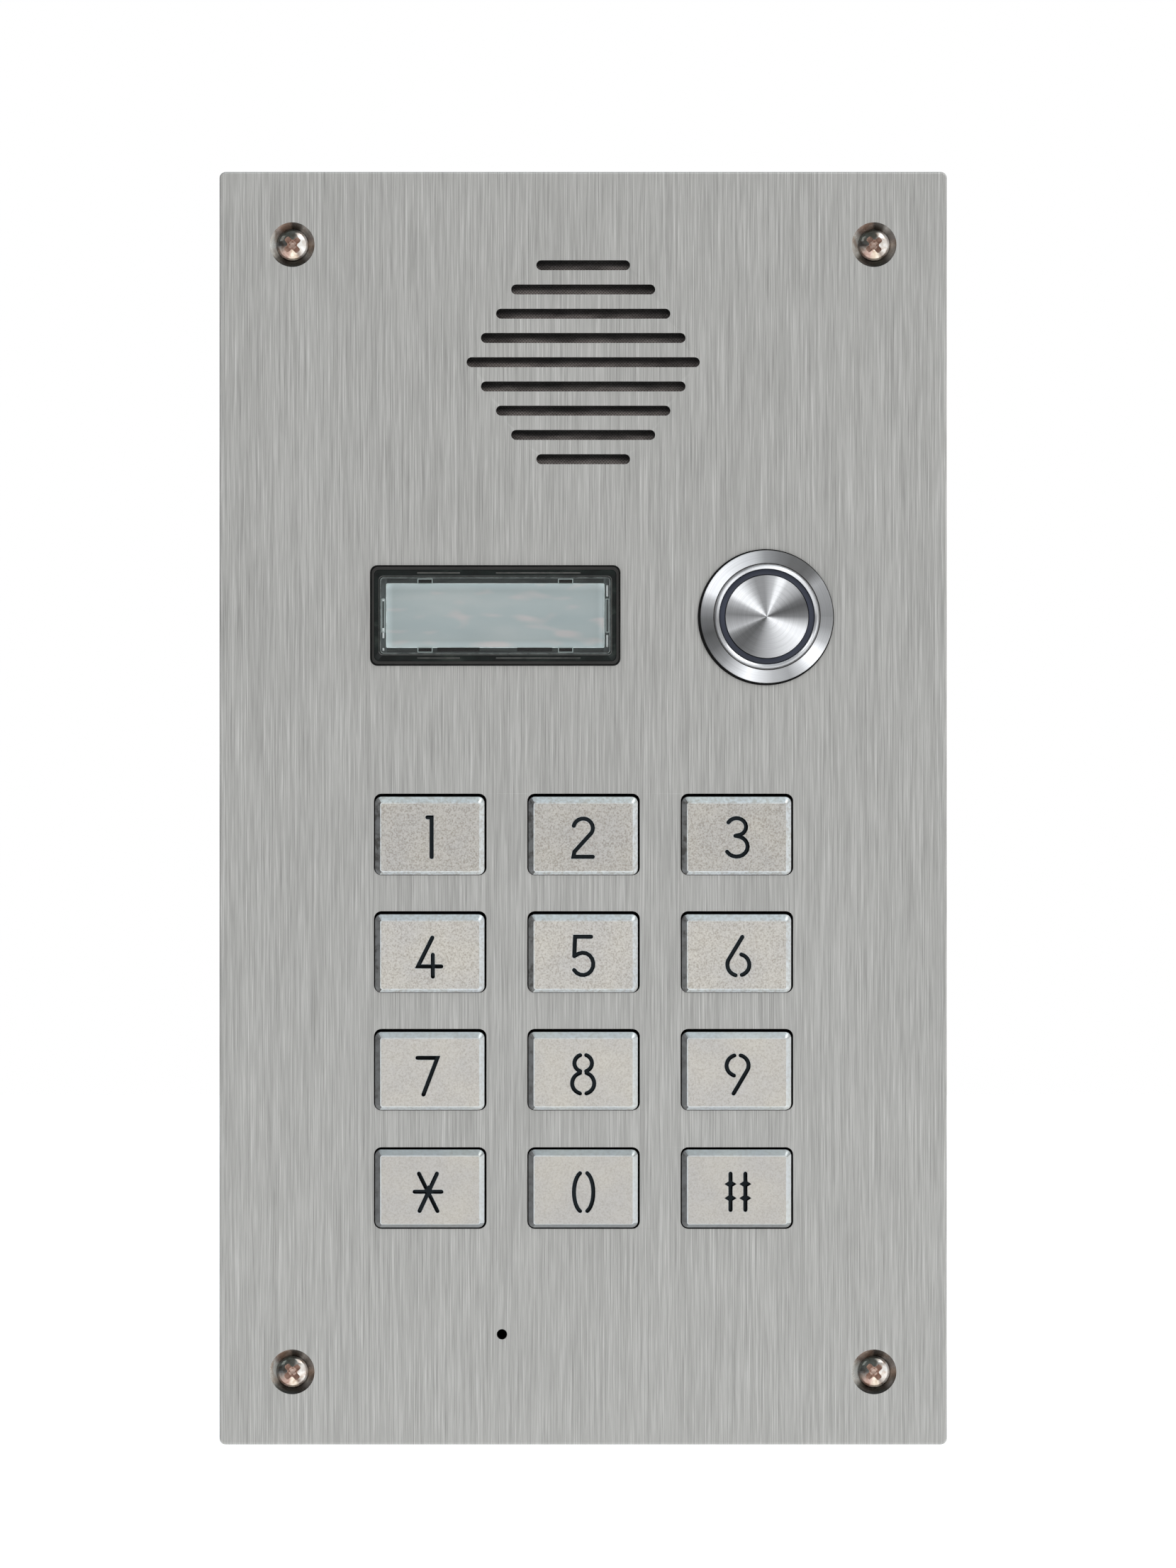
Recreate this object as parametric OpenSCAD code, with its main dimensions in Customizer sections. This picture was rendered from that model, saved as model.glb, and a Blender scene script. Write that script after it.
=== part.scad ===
// Door intercom panel. A brushed steel faceplate carries a speaker grille, a lit name window, a round
// call button, a twelve-key keypad and a microphone hole. It is screwed to a box set into the wall, and
// the loudspeaker, the circuit boards and the terminal block sit inside that box.
//
// Each piece is drawn lying on its back: x to the visitor's right, y up the panel and z out towards the
// visitor, with z = 0 on the face of the wall. stand() turns it upright, so the finished model has +Z up,
// +Y into the wall, and its origin at the middle of the panel on the wall's face.

/* [Faceplate] */
// Width of the faceplate
plate_w = 120; // [118:1:130]
// Height of the faceplate
plate_h = 210; // [208:1:220]
// Thickness of the faceplate
plate_t = 2.5; // [2.5:0.1:3]
// Radius of the faceplate's corners
plate_corner_r = 1; // [0.5:0.5:3]
// Thickness of the rubber gasket between the faceplate and the wall
gasket_t = 2; // [2:0.1:2.4]
// Distance from the middle of the panel to each corner screw, across
screw_x = 48; // [47:0.5:48]
// Distance from the middle of the panel to each corner screw, up and down
screw_y = 93; // [92:0.5:93]

/* [Speaker grille] */
// Height of the middle slot above the middle of the panel
grille_y = 73.6; // [73:0.1:73.8]
// Distance between slots
slot_pitch = 4; // [3.8:0.1:4.1]
// Height of each slot
slot_h = 1.6; // [1.2:0.1:2]
// Length of the middle slot
slot_longest = 38.4; // [37:0.1:39]

/* [Name window] */
// Middle of the window, across
window_x = -14.5; // [-16:0.1:-14]
// Middle of the window, up
window_y = 31.8; // [30:0.1:33]
// Width of the window's surround
window_w = 41.3; // [40:0.1:42]
// Height of the window's surround
window_h = 16.3; // [16:0.1:17]
// Width of the label that shows
label_w = 35.8; // [35:0.1:36]
// Height of the label that shows
label_h = 10.4; // [10:0.1:10.6]

/* [Call button] */
// Middle of the button, across
button_x = 30.3; // [30:0.1:32]
// Middle of the button, up
button_y = 31.6; // [31:0.1:32]
// Radius of the button's bezel
bezel_r = 10.95; // [10.8:0.05:11.2]
// Radius of the moving disc
disc_r = 6.85; // [6.8:0.01:6.88]
// How far the button can be pressed
button_travel = 1.5; // [1:0.1:1.8]

/* [Keypad] */
// Width of a key
key_w = 18.1; // [17.8:0.1:18.1]
// Height of a key
key_h = 13; // [12.8:0.1:13]
// Room between a key and the edge of its cut-out
key_gap = 0.2; // [0.15:0.05:0.3]
// How far a key stands out of the faceplate
key_proud = 0.8; // [0.6:0.1:1]
// Width of the slope above a key's face
slope_above = 0.95; // [0.7:0.05:1]
// Width of the slope below a key's face
slope_below = 0.5; // [0.4:0.05:0.9]
// Width of the slope left of a key's face
slope_left = 0.75; // [0.5:0.05:0.9]
// Width of the slope right of a key's face
slope_right = 0.6; // [0.5:0.05:0.9]
// Distance between columns of keys
column_pitch = 25.3; // [25.2:0.1:25.6]
// Distance between rows of keys
row_pitch = 19.4; // [19.3:0.1:19.6]
// Height of the top row of keys, from the middle of the panel
top_row_y = -4.5; // [-5:0.1:-4.5]
// Width of the strokes that make each digit
stroke_w = 0.62; // [0.5:0.02:0.8]
// How far a key can be pressed
key_travel = 1; // [0.5:0.1:1.2]

/* [Microphone] */
// Position of the microphone hole, across
mic_x = -13.4; // [-14:0.1:-12]
// Position of the microphone hole, up
mic_y = -86.8; // [-87:0.1:-86]
// Diameter of the microphone hole
mic_hole_d = 1.66; // [1.5:0.02:2]

/* [Wall box] */
// Outside width of the box
box_w = 104; // [103.5:0.5:104.5]
// Outside height of the box
box_h = 194; // [193.5:0.5:194.5]
// Depth of the box behind the face of the wall
box_depth = 43; // [42:1:50]
// Thickness of the box's walls
box_wall = 2; // [1.8:0.1:2.2]
// Distance between the fixing holes, across
fixing_pitch_x = 70; // [60:1:70]
// Distance between the fixing holes, up and down
fixing_pitch_y = 150; // [140:1:150]
// Radius of each fixing hole
fixing_r = 2.25; // [2:0.05:2.5]
// Height of the cable entry above the middle of the box
entry_y = 62; // [55:1:65]
// Radius of the hole through the cable grommet
entry_r = 3.5; // [2.5:0.5:4]

/* [Hidden] */
KEY_NAMES = ["1", "2", "3", "4", "5", "6", "7", "8", "9", "star", "0", "hash"];
ROOT_NODES = [
    "faceplate", "weld_studs", "stud_nuts", "corner_screws", "rim_gasket", "back_box", "box_inserts",
    "cable_grommet", "speaker_cloth", "speaker_gasket", "speaker_basket", "speaker_cone",
    "speaker_magnet", "speaker_clamps", "mic_boot", "mic_capsule", "window_frame", "window_lens",
    "label_card", "light_guide", "backlight_board", "button_body", "button_seal", "button_nut",
    "button_light_ring", "button_switch", "keypad_frame", "keypad_mat", "keypad_board", "main_board",
    "board_parts", "board_capacitors", "terminal_block", "board_standoffs"
];

fine = 64; // segments of a full circle that shows
small = 32; // segments of a screw, stud or pin
clearance = 0.05; // room between pieces that fit inside each other

// Levels, measured out from the face of the wall
plate_back = gasket_t;
plate_front = gasket_t + plate_t;
key_face = plate_front + key_proud;

// Corner screws, M3 with an oval countersunk head
m3_r = 1.5;
m3_hole_r = 1.7;
m3_nut_flats = 5.5;
m3_nut_t = 2.4;
dish_r = 3.65;
head_r = 2.6;
head_rise = 1;
screw_places = [for (x = [-screw_x, screw_x], y = [-screw_y, screw_y]) [x, y]];
screw_turns = [28, 52, 61, 35]; // the way each screw's cross came to rest
screw_end = -9;

// Grille: each slot is a little shorter than the one nearer the middle
slot_steps = [0, 4.7, 9.7, 14.7, 23];

// Keypad
column_x = [-column_pitch, 0, column_pitch];
key_corner_r = 1;
flange_rim = 1.2; // how far the flange behind a key reaches past it
flange_t = 1;
flange_front = plate_back - 0.15;
flange_back = flange_front - flange_t;
flange_corner_r = 1.5;
key_wall = 1.2; // metal left over the pocket in a key's back
pocket_inset = 1.25; // metal left round that pocket
pocket_corner_r = 0.8;
pocket_top = key_face - key_wall;
glyph_drop = 0.35; // the digits sit a little below the middle of the key
core_sink = 0.15; // the digit's filling lies this far below the key's face
keypad_w = 82;
keypad_margin = 6.6; // board above the top row and below the bottom row
keypad_h = 3 * row_pitch + key_h + 2 * keypad_margin;
keypad_corner_r = 3;
keypad_y = top_row_y - 1.5 * row_pitch;
frame_back = plate_back - 4.4;
mat_t = 1.2;
board_t = 1.6;
mat_back = frame_back - mat_t;
keypad_board_back = mat_back - board_t;
dome_top = 0;
plunger_r = 2.5;
plunger_end = dome_top + clearance;
stud_x = 38.4;
stud_inset = 5.1; // from the keypad's upper or lower edge to its nearest studs
stud_rise = keypad_h / 2 - stud_inset;
stud_rows = [keypad_y + stud_rise, keypad_y, keypad_y - stud_rise];
corner_stud_places = [for (x = [-stud_x, stud_x], y = [stud_rows[0], stud_rows[2]]) [x, y]];
middle_stud_places = [for (x = [-stud_x, stud_x]) [x, stud_rows[1]]];
corner_stud_end = keypad_board_back - 4;
middle_stud_end = keypad_board_back - m3_nut_t - 0.6;

// Speaker
speaker_r = 20.8;
cloth_t = 0.3;
speaker_gasket_t = 1.2;
basket_front = plate_back - cloth_t - speaker_gasket_t;
basket_flange_t = 1.2;
basket_depth = 10.5;
magnet_t = 6;
clamp_ring_r = 24.3;
speaker_stud_places = [
    for (turn = [45:90:315]) [clamp_ring_r * cos(turn), grille_y + clamp_ring_r * sin(turn)]
];
clamp_t = 1;
clamp_back = basket_front - basket_flange_t - clamp_t;
speaker_stud_end = clamp_back - m3_nut_t - 0.6;

// Name window
window_corner_r = 1.2;
lip = 0.5; // how far the surround overlaps the faceplate
lip_t = 0.7;
window_cut_w = window_w - 2 * lip;
window_cut_h = window_h - 2 * lip;
lens_w = label_w + 2.3;
lens_h = label_h + 2.3;
lens_t = 1.3;
ledge_front = plate_front + lip_t - lens_t - 0.25;
ledge_t = 0.5;
ledge_back = ledge_front - ledge_t;
hook_w = 2.5;
hook_t = 0.9;
hook_x = 11.6;
card_w = label_w + 0.8;
card_h = label_h + 0.4;
card_t = 0.3;
guide_t = 2;
guide_back = ledge_back - card_t - guide_t;
window_pocket_w = lens_w + 0.5;
window_pocket_h = lens_h + 0.5;
window_back = guide_back - 2.4;
lamp_t = 0.8;
backlight_board_t = 1.2;

// Call button
seal_t = 0.4;
seal_rim = 0.2;
bezel_base = plate_front + seal_t;
barrel_r = 9.4;
barrel_hole_r = 9.6;
barrel_end = -12;
ring_r = 7.87;
ring_shelf = 3.5;
barrel_bore_r = 7.25;
collar_r = 7.1;
disc_top = plate_front + 1.65;
stem_r = 2.5;
stem_end = -8.6;
spring_r = 4.6;
spring_wire_r = 0.35;
spring_turns = 5;
switch_top = -10.6;

// Microphone
mic_boot_r = 6.2;
capsule_r = 4.85;
capsule_t = 5.8;
capsule_front = plate_back - 1.5;

// Wall box
boss_r = 4;
insert_r = 2.4;
insert_hole_r = 1.55;
insert_depth = 11.5;
box_corner_r = 2;
gasket_inset = 1;
gasket_hole_margin = 0.5;
grommet_groove_r = 7;
grommet_flange_r = 9;
grommet_flange_t = 1.5;

// Main board
standoff_t = 13.2;
main_board_front = keypad_board_back - standoff_t;
main_board_back = main_board_front - board_t;
main_board_w = 92;
main_board_h = 102;
main_board_y = -37;
standoff_end = main_board_back - m3_nut_t - 0.6;
terminal_count = 8;
terminal_pitch = 5;

// Colours
steel = [0.67, 0.67, 0.66];
polished = [0.8, 0.8, 0.79];
zinc = [0.78, 0.77, 0.74];
black_rubber = [0.07, 0.07, 0.07];
black_plastic = [0.1, 0.1, 0.11];
smoked_plastic = [0.1, 0.15, 0.14];
clear_plastic = [0.75, 0.82, 0.84, 0.5];
label_paper = [0.63, 0.67, 0.68];
board_green = [0.08, 0.3, 0.18];
brass_yellow = [0.78, 0.65, 0.35];

// ---- Shared shapes ----

// Turns a piece drawn on its back to its place on the wall.
module stand() {
    rotate([90, 0, 0]) children();
}

function arc(cx, cy, rx, ry, from, to, steps = 12) = [
    for (i = [0:steps])
        let (turn = from + (to - from) * i / steps)
        [cx + rx * cos(turn), cy + ry * sin(turn)]
];

function rounded_rect(w, h, r, steps = 5) = concat(
    arc(w / 2 - r, h / 2 - r, r, r, 0, 90, steps),
    arc(r - w / 2, h / 2 - r, r, r, 90, 180, steps),
    arc(r - w / 2, r - h / 2, r, r, 180, 270, steps),
    arc(w / 2 - r, r - h / 2, r, r, 270, 360, steps)
);

// A plate with rounded corners between two levels.
module slab(w, h, r, from, to) {
    translate([0, 0, from])
        linear_extrude(to - from)
            polygon(rounded_rect(w, h, r));
}

module block(w, h, from, to) {
    translate([-w / 2, -h / 2, from])
        cube([w, h, to - from]);
}

module rod(r, from, to, segments = small) {
    translate([0, 0, from])
        cylinder(r = r, h = to - from, $fn = segments);
}

module ring(outer_r, inner_r, from, to, segments = fine) {
    difference() {
        rod(outer_r, from, to, segments);
        rod(inner_r, from - 1, to + 1, segments);
    }
}

module turned(profile, segments = fine) {
    rotate_extrude($fn = segments)
        polygon(profile);
}

// Hexagon of a given distance across its flats.
module hexagon(flats, from, to) {
    translate([0, 0, from])
        cylinder(d = flats / cos(30), h = to - from, $fn = 6);
}

module at(places) {
    for (place = places)
        translate([place[0], place[1], 0]) children();
}

// ---- Digits: each is a list of strokes, and a stroke is a path with round ends ----

function unit(v) = v / norm(v);
function left_of(v) = [-v[1], v[0]];

// The sideways step from a path's point to its stroke's edge, longer at a corner.
function edge_step(path, i, half) =
    let (
        last = len(path) - 1,
        before = unit(path[max(i, 1)] - path[max(i, 1) - 1]),
        after = unit(path[min(i, last - 1) + 1] - path[min(i, last - 1)]),
        middle = unit(left_of(before) + left_of(after))
    )
    middle * half / (middle * left_of(after));

function heading(v) = atan2(v[1], v[0]);

function stroke(path, width) =
    let (
        half = width / 2,
        last = len(path) - 1,
        start = path[0],
        end = path[last],
        start_turn = heading(path[1] - start),
        end_turn = heading(end - path[last - 1]),
        cap_steps = 6
    )
    concat(
        [for (i = [1:last - 1]) path[i] + edge_step(path, i, half)],
        arc(end[0], end[1], half, half, end_turn + 90, end_turn - 90, cap_steps),
        [for (i = [last - 1:-1:1]) path[i] - edge_step(path, i, half)],
        arc(start[0], start[1], half, half, start_turn - 90, start_turn - 270, cap_steps)
    );

function mirrored(path) = [for (p = path) [-p[0], p[1]]];

glyph_one = [[[-0.4, 3.2], [0.32, 3.2], [0.32, -3.2]]];
glyph_two = [concat(arc(0, 1.6, 1.6, 1.55, 172, -32), [[-1.45, -2.3], [-1.62, -3.15], [1.6, -3.15]])];
glyph_three = [
    concat(arc(-0.1, 1.78, 1.45, 1.4, 150, -68), [[-0.3, 0.25]]),
    concat([[-0.3, 0.25]], arc(-0.15, -1.5, 1.78, 1.68, 74, -146))
];
glyph_four = [
    [[0.5, 3.2], [-1.95, -1.45], [2, -1.45]],
    [[0.6, 0.3], [0.6, -3.2]]
];
glyph_five = [
    [[1.3, 3.15], [-1.42, 3.15], [-1.5, -0.05]],
    concat([[-1.5, -0.05]], arc(-0.05, -1.32, 1.72, 1.85, 115, -147))
];
glyph_six = [
    concat([[1.05, 3.2]], arc(0.25, -1.35, 1.85, 1.85, 160, 258)),
    arc(0.25, -1.4, 1.8, 1.78, 76, -74)
];
glyph_seven = [[[-1.95, 3.1], [1.45, 3.1], [-1, -3.2]]];
eight_half = [
    arc(0, 1.82, 1.45, 1.4, 110, 250),
    arc(0, -1.45, 1.82, 1.76, 107, 253)
];
glyph_eight = concat(eight_half, [for (path = eight_half) mirrored(path)]);
glyph_nine = [
    arc(0.2, 1.45, 1.85, 1.75, 108, 250),
    concat(arc(0.2, 1.5, 1.78, 1.68, 75, -30), [[-0.6, -3.2]])
];
star_steep = [[-1.57, 3.2], [1.57, -3.2]];
glyph_star = [star_steep, mirrored(star_steep), [[-2.3, 0], [2.3, 0]]];
zero_half = arc(0, 0, 1.52, 3.38, 110, 250);
glyph_zero = [zero_half, mirrored(zero_half)];
hash_x = 1.22;
hash_y = 1.2;
glyph_hash = [for (x = [-hash_x, hash_x]) [[x, 3], [x, -3]]];
GLYPHS = [
    glyph_one, glyph_two, glyph_three, glyph_four, glyph_five, glyph_six,
    glyph_seven, glyph_eight, glyph_nine, glyph_star, glyph_zero, glyph_hash
];

// The star has a blob at its middle, and the hash has one at each crossing.
function blob(cx, cy, half_w, half_h) =
    [[cx + half_w, cy], [cx, cy + half_h], [cx - half_w, cy], [cx, cy - half_h]];
function blobs(k) =
    KEY_NAMES[k] == "star" ? [blob(0, 0, 0.85, 1)] :
    KEY_NAMES[k] == "hash" ? [for (x = [-hash_x, hash_x], y = [-hash_y, hash_y]) blob(x, y, 0.85, 0.7)] :
    [];

// One key's digit, between two levels. trim narrows its strokes.
module glyph(k, from, to, trim = 0) {
    translate([0, -glyph_drop, from])
        linear_extrude(to - from) {
            for (path = GLYPHS[k])
                polygon(stroke(path, stroke_w - 2 * trim));
            for (outline = blobs(k))
                polygon(outline);
        }
}

// ---- Keypad ----

function key_place(k) = [column_x[k % 3], top_row_y - row_pitch * floor(k / 3)];
key_places = [for (k = [0:len(KEY_NAMES) - 1]) key_place(k)];

// The upright sides of a key, closed by the slopes that lead up to its face. `low` is the width of the slope
// on the left or below, and `high` of the one on the right or above.
function slope_profile(width, from, low, high) = [
    [-width / 2, from],
    [width / 2, from],
    [width / 2, plate_front],
    [width / 2 - high, key_face],
    [low - width / 2, key_face],
    [-width / 2, plate_front]
];

module key_blank() {
    intersection() {
        slab(key_w, key_h, key_corner_r, flange_back, key_face);
        translate([0, key_h / 2, 0])
            rotate([90, 0, 0])
                linear_extrude(key_h)
                    polygon(slope_profile(key_w, flange_back, slope_left, slope_right));
        translate([-key_w / 2, 0, 0])
            rotate([90, 0, 90])
                linear_extrude(key_w)
                    polygon(slope_profile(key_h, flange_back, slope_below, slope_above));
    }
}

module key_cap(k) {
    color(zinc) stand() at([key_place(k)])
        difference() {
            union() {
                key_blank();
                slab(key_w + 2 * flange_rim, key_h + 2 * flange_rim, flange_corner_r, flange_back,
                    flange_front);
            }
            slab(key_w - 2 * pocket_inset, key_h - 2 * pocket_inset, pocket_corner_r, flange_back - 1,
                pocket_top);
            glyph(k, pocket_top - 1, key_face + 1);
        }
}

module key_core(k) {
    inset = pocket_inset + 2 * clearance;
    color(black_plastic) stand() at([key_place(k)])
        union() {
            slab(key_w - 2 * inset, key_h - 2 * inset, pocket_corner_r, flange_back, pocket_top - clearance);
            glyph(k, pocket_top - 0.5, key_face - core_sink, clearance);
            rod(plunger_r, plunger_end, flange_back + 0.5);
        }
}

module keypad_frame() {
    room = 0.25; // round each key's flange
    opening_w = key_w + 2 * flange_rim + 2 * room;
    opening_h = key_h + 2 * flange_rim + 2 * room;
    color(black_plastic) stand()
        difference() {
            translate([0, keypad_y, 0])
                slab(keypad_w, keypad_h, keypad_corner_r, frame_back, plate_back);
            at(key_places)
                slab(opening_w, opening_h, flange_corner_r + room, frame_back - 1, plate_back + 1);
            at(concat(corner_stud_places, middle_stud_places))
                rod(m3_hole_r, frame_back - 1, plate_back + 1);
        }
}

module keypad_mat() {
    dome_base_r = 4.5;
    dome_tip_r = 2.8;
    skin = 0.7;
    tip_t = 0.4; // upright edge of a dome's flat top
    bond = 0.2; // how far a dome's foot goes into the sheet
    color(black_rubber) stand()
        difference() {
            union() {
                translate([0, keypad_y, 0])
                    slab(keypad_w, keypad_h, keypad_corner_r, mat_back, frame_back);
                at(key_places)
                    turned([
                        [0, frame_back - bond], [dome_base_r, frame_back - bond], [dome_base_r, frame_back],
                        [dome_tip_r, dome_top - tip_t], [dome_tip_r, dome_top], [0, dome_top]
                    ], small);
            }
            at(key_places)
                turned([
                    [0, mat_back - 1], [dome_base_r - skin, mat_back - 1], [dome_base_r - skin, frame_back],
                    [dome_tip_r - skin, dome_top - tip_t - skin], [0, dome_top - tip_t - skin]
                ], small);
            at(concat(corner_stud_places, middle_stud_places))
                rod(m3_hole_r, mat_back - 1, frame_back + 1);
        }
}

module keypad_board() {
    color(board_green) stand()
        difference() {
            translate([0, keypad_y, 0])
                slab(keypad_w, keypad_h, 1, keypad_board_back, mat_back);
            at(concat(corner_stud_places, middle_stud_places))
                rod(m3_r + clearance, keypad_board_back - 1, mat_back + 1);
        }
}

// ---- Faceplate and its fasteners ----

module grille_slots() {
    for (row = [-4:4])
        translate([0, row * slot_pitch, 0])
            slab(slot_longest - slot_steps[abs(row)], slot_h, slot_h / 2 - 0.001, 0, plate_front + 1);
}

module faceplate() {
    color(steel) stand()
        difference() {
            slab(plate_w, plate_h, plate_corner_r, plate_back, plate_front);
            translate([0, grille_y, 0])
                grille_slots();
            translate([window_x, window_y, 0])
                slab(window_cut_w, window_cut_h, window_corner_r - 0.2, 0, plate_front + 1);
            at([[button_x, button_y]])
                rod(barrel_hole_r, 0, plate_front + 1, fine);
            at(key_places)
                slab(key_w + 2 * key_gap, key_h + 2 * key_gap, key_corner_r + key_gap, 0, plate_front + 1);
            at([[mic_x, mic_y]])
                rod(mic_hole_d / 2, 0, plate_front + 1);
            at(screw_places) {
                rod(m3_hole_r, 0, plate_front + 1);
                turned([[0, plate_front - dish_r], [dish_r, plate_front], [dish_r, plate_front + 1],
                    [0, plate_front + 1]], small);
            }
        }
}

module weld_studs() {
    color(polished) stand() {
        at(corner_stud_places) rod(m3_r, corner_stud_end, plate_back);
        at(middle_stud_places) rod(m3_r, middle_stud_end, plate_back);
        at(speaker_stud_places) rod(m3_r, speaker_stud_end, plate_back);
    }
}

module nut(top) {
    difference() {
        hexagon(m3_nut_flats, top - m3_nut_t, top);
        rod(m3_r + clearance, top - m3_nut_t - 1, top + 1);
    }
}

module stud_nuts() {
    color(polished) stand() {
        at(middle_stud_places) nut(keypad_board_back);
        at(speaker_stud_places) nut(clamp_back);
        at(corner_stud_places) nut(main_board_back);
    }
}

// An oval countersunk screw with a cross recess. Its head lies low in the faceplate's wide dish.
module corner_screw() {
    head_edge = plate_front - (dish_r - head_r) + clearance;
    difference() {
        turned(concat(
            [[0, screw_end], [m3_r, screw_end], [m3_r, head_edge - head_r + m3_r]],
            arc(0, head_edge, head_r, head_rise, 0, 90, 8)
        ), small);
        for (turn = [0, 90])
            rotate([0, 0, turn])
                translate([-1.5, -0.28, head_edge])
                    cube([3, 0.56, head_rise + 1]);
    }
}

module corner_screws() {
    color(polished) stand()
        for (i = [0:len(screw_places) - 1])
            translate(screw_places[i])
                rotate([0, 0, screw_turns[i]])
                    corner_screw();
}

// ---- Wall box ----

module rim_gasket() {
    color(black_rubber) stand()
        difference() {
            slab(plate_w - 2 * gasket_inset, plate_h - 2 * gasket_inset, plate_corner_r, 0, gasket_t);
            slab(box_w + 2 * gasket_hole_margin, box_h + 2 * gasket_hole_margin, box_corner_r,
                -1, gasket_t + 1);
        }
}

module back_box() {
    box_back = -box_depth;
    fixings = [
        for (x = [-fixing_pitch_x / 2, fixing_pitch_x / 2], y = [-fixing_pitch_y / 2, fixing_pitch_y / 2])
            [x, y]
    ];
    color(black_plastic) stand()
        difference() {
            union() {
                difference() {
                    slab(box_w, box_h, box_corner_r, box_back, plate_back);
                    slab(box_w - 2 * box_wall, box_h - 2 * box_wall, 0.5, box_back + box_wall,
                        plate_back + 1);
                }
                intersection() {
                    slab(box_w, box_h, box_corner_r, box_back, plate_back);
                    at(screw_places) rod(boss_r, box_back, plate_back);
                }
            }
            at(screw_places) rod(insert_r + 0.02, plate_back - insert_depth - 1, plate_back + 1);
            at(fixings) rod(fixing_r, box_back - 1, box_back + box_wall + 1);
            at([[0, entry_y]]) rod(grommet_groove_r + 0.02, box_back - 1, box_back + box_wall + 1);
        }
}

module box_inserts() {
    color(brass_yellow) stand()
        at(screw_places)
            ring(insert_r, insert_hole_r, plate_back - insert_depth, plate_back - 0.2, small);
}

module cable_grommet() {
    wall_out = -box_depth;
    wall_in = wall_out + box_wall;
    color(black_rubber) stand() at([[0, entry_y]])
        turned([
            [entry_r, wall_out - grommet_flange_t],
            [grommet_flange_r, wall_out - grommet_flange_t],
            [grommet_flange_r, wall_out],
            [grommet_groove_r, wall_out],
            [grommet_groove_r, wall_in],
            [grommet_flange_r, wall_in],
            [grommet_flange_r - 0.6, wall_in + grommet_flange_t],
            [entry_r, wall_in + grommet_flange_t]
        ]);
}

// ---- Loudspeaker ----

module speaker_cloth() {
    color([0.3, 0.27, 0.26]) stand() at([[0, grille_y]])
        rod(speaker_r - 0.3, plate_back - cloth_t, plate_back, fine);
}

module speaker_gasket() {
    color(black_rubber) stand() at([[0, grille_y]])
        ring(speaker_r - 0.3, speaker_r - 2.5, basket_front, plate_back - cloth_t);
}

module speaker_basket() {
    flange_level = basket_front - basket_flange_t;
    floor_level = basket_front - basket_depth;
    floor_r = 11;
    cone_mouth_r = speaker_r - 3;
    metal = 0.8;
    color(black_plastic) stand() at([[0, grille_y]])
        difference() {
            turned([
                [0, floor_level],
                [floor_r, floor_level],
                [cone_mouth_r + metal, flange_level],
                [speaker_r, flange_level],
                [speaker_r, basket_front],
                [cone_mouth_r, basket_front],
                [cone_mouth_r, flange_level],
                [floor_r - metal, floor_level + metal],
                [0, floor_level + metal]
            ]);
            for (turn = [0:90:270])
                rotate([0, 0, turn])
                    translate([floor_r, -5, floor_level + 2])
                        cube([speaker_r, 10, 5]);
        }
}

module speaker_cone() {
    rim_r = speaker_r - 3.05;
    paper = 0.5;
    voice_r = 5;
    rim_level = basket_front - 0.2;
    voice_level = basket_front - 5.5;
    color([0.12, 0.12, 0.12]) stand() at([[0, grille_y]])
        turned(concat(
            [[0, voice_level + 0.6], [voice_r, voice_level - paper]],
            [[rim_r - 2.5, rim_level - 1 - paper], [rim_r - 2.5, rim_level - paper]],
            [[rim_r, rim_level - paper]],
            [[rim_r, rim_level], [rim_r - 2.6, rim_level], [rim_r - 3, rim_level - 1]],
            [[voice_r, voice_level]],
            arc(0, voice_level, voice_r - 0.4, 1.6, 0, 90, 6)
        ));
}

module speaker_magnet() {
    top = basket_front - basket_depth;
    color([0.25, 0.25, 0.27]) stand() at([[0, grille_y]])
        turned([
            [0, top], [10.4, top], [10.4, top - 1], [11, top - 1.4], [11, top - magnet_t + 1.4],
            [10.4, top - magnet_t + 1], [10.4, top - magnet_t], [0, top - magnet_t]
        ]);
}

module speaker_clamps() {
    width = 6;
    inner_r = speaker_r - 2;
    outer_r = 26.2;
    foot = 1;
    color(polished) stand() at([[0, grille_y]])
        for (turn = [45:90:315])
            rotate([0, 0, turn])
                difference() {
                    translate([inner_r, -width / 2, clamp_back])
                        cube([outer_r - inner_r, width, plate_back - clamp_back]);
                    translate([inner_r - 1, -width, clamp_back + clamp_t])
                        cube([outer_r - foot - inner_r + 1, 2 * width, plate_back - clamp_back]);
                    translate([clamp_ring_r, 0, 0])
                        rod(m3_r + clearance, clamp_back - 1, plate_back);
                }
}

// ---- Microphone ----

module mic_boot() {
    boot_back = capsule_front - capsule_t - 0.6;
    color(black_rubber) stand() at([[mic_x, mic_y]])
        difference() {
            rod(mic_boot_r, boot_back, plate_back, fine);
            rod(capsule_r, boot_back - 1, capsule_front, fine);
            rod(mic_hole_d / 2, capsule_front - 1, plate_back + 1);
        }
}

module mic_capsule() {
    can_r = capsule_r - clearance;
    color(polished) stand() at([[mic_x, mic_y]])
        difference() {
            rod(can_r, capsule_front - capsule_t, capsule_front, fine);
            rod(mic_hole_d / 2, capsule_front - 0.5, capsule_front + 1);
        }
}

// ---- Name window ----

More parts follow.
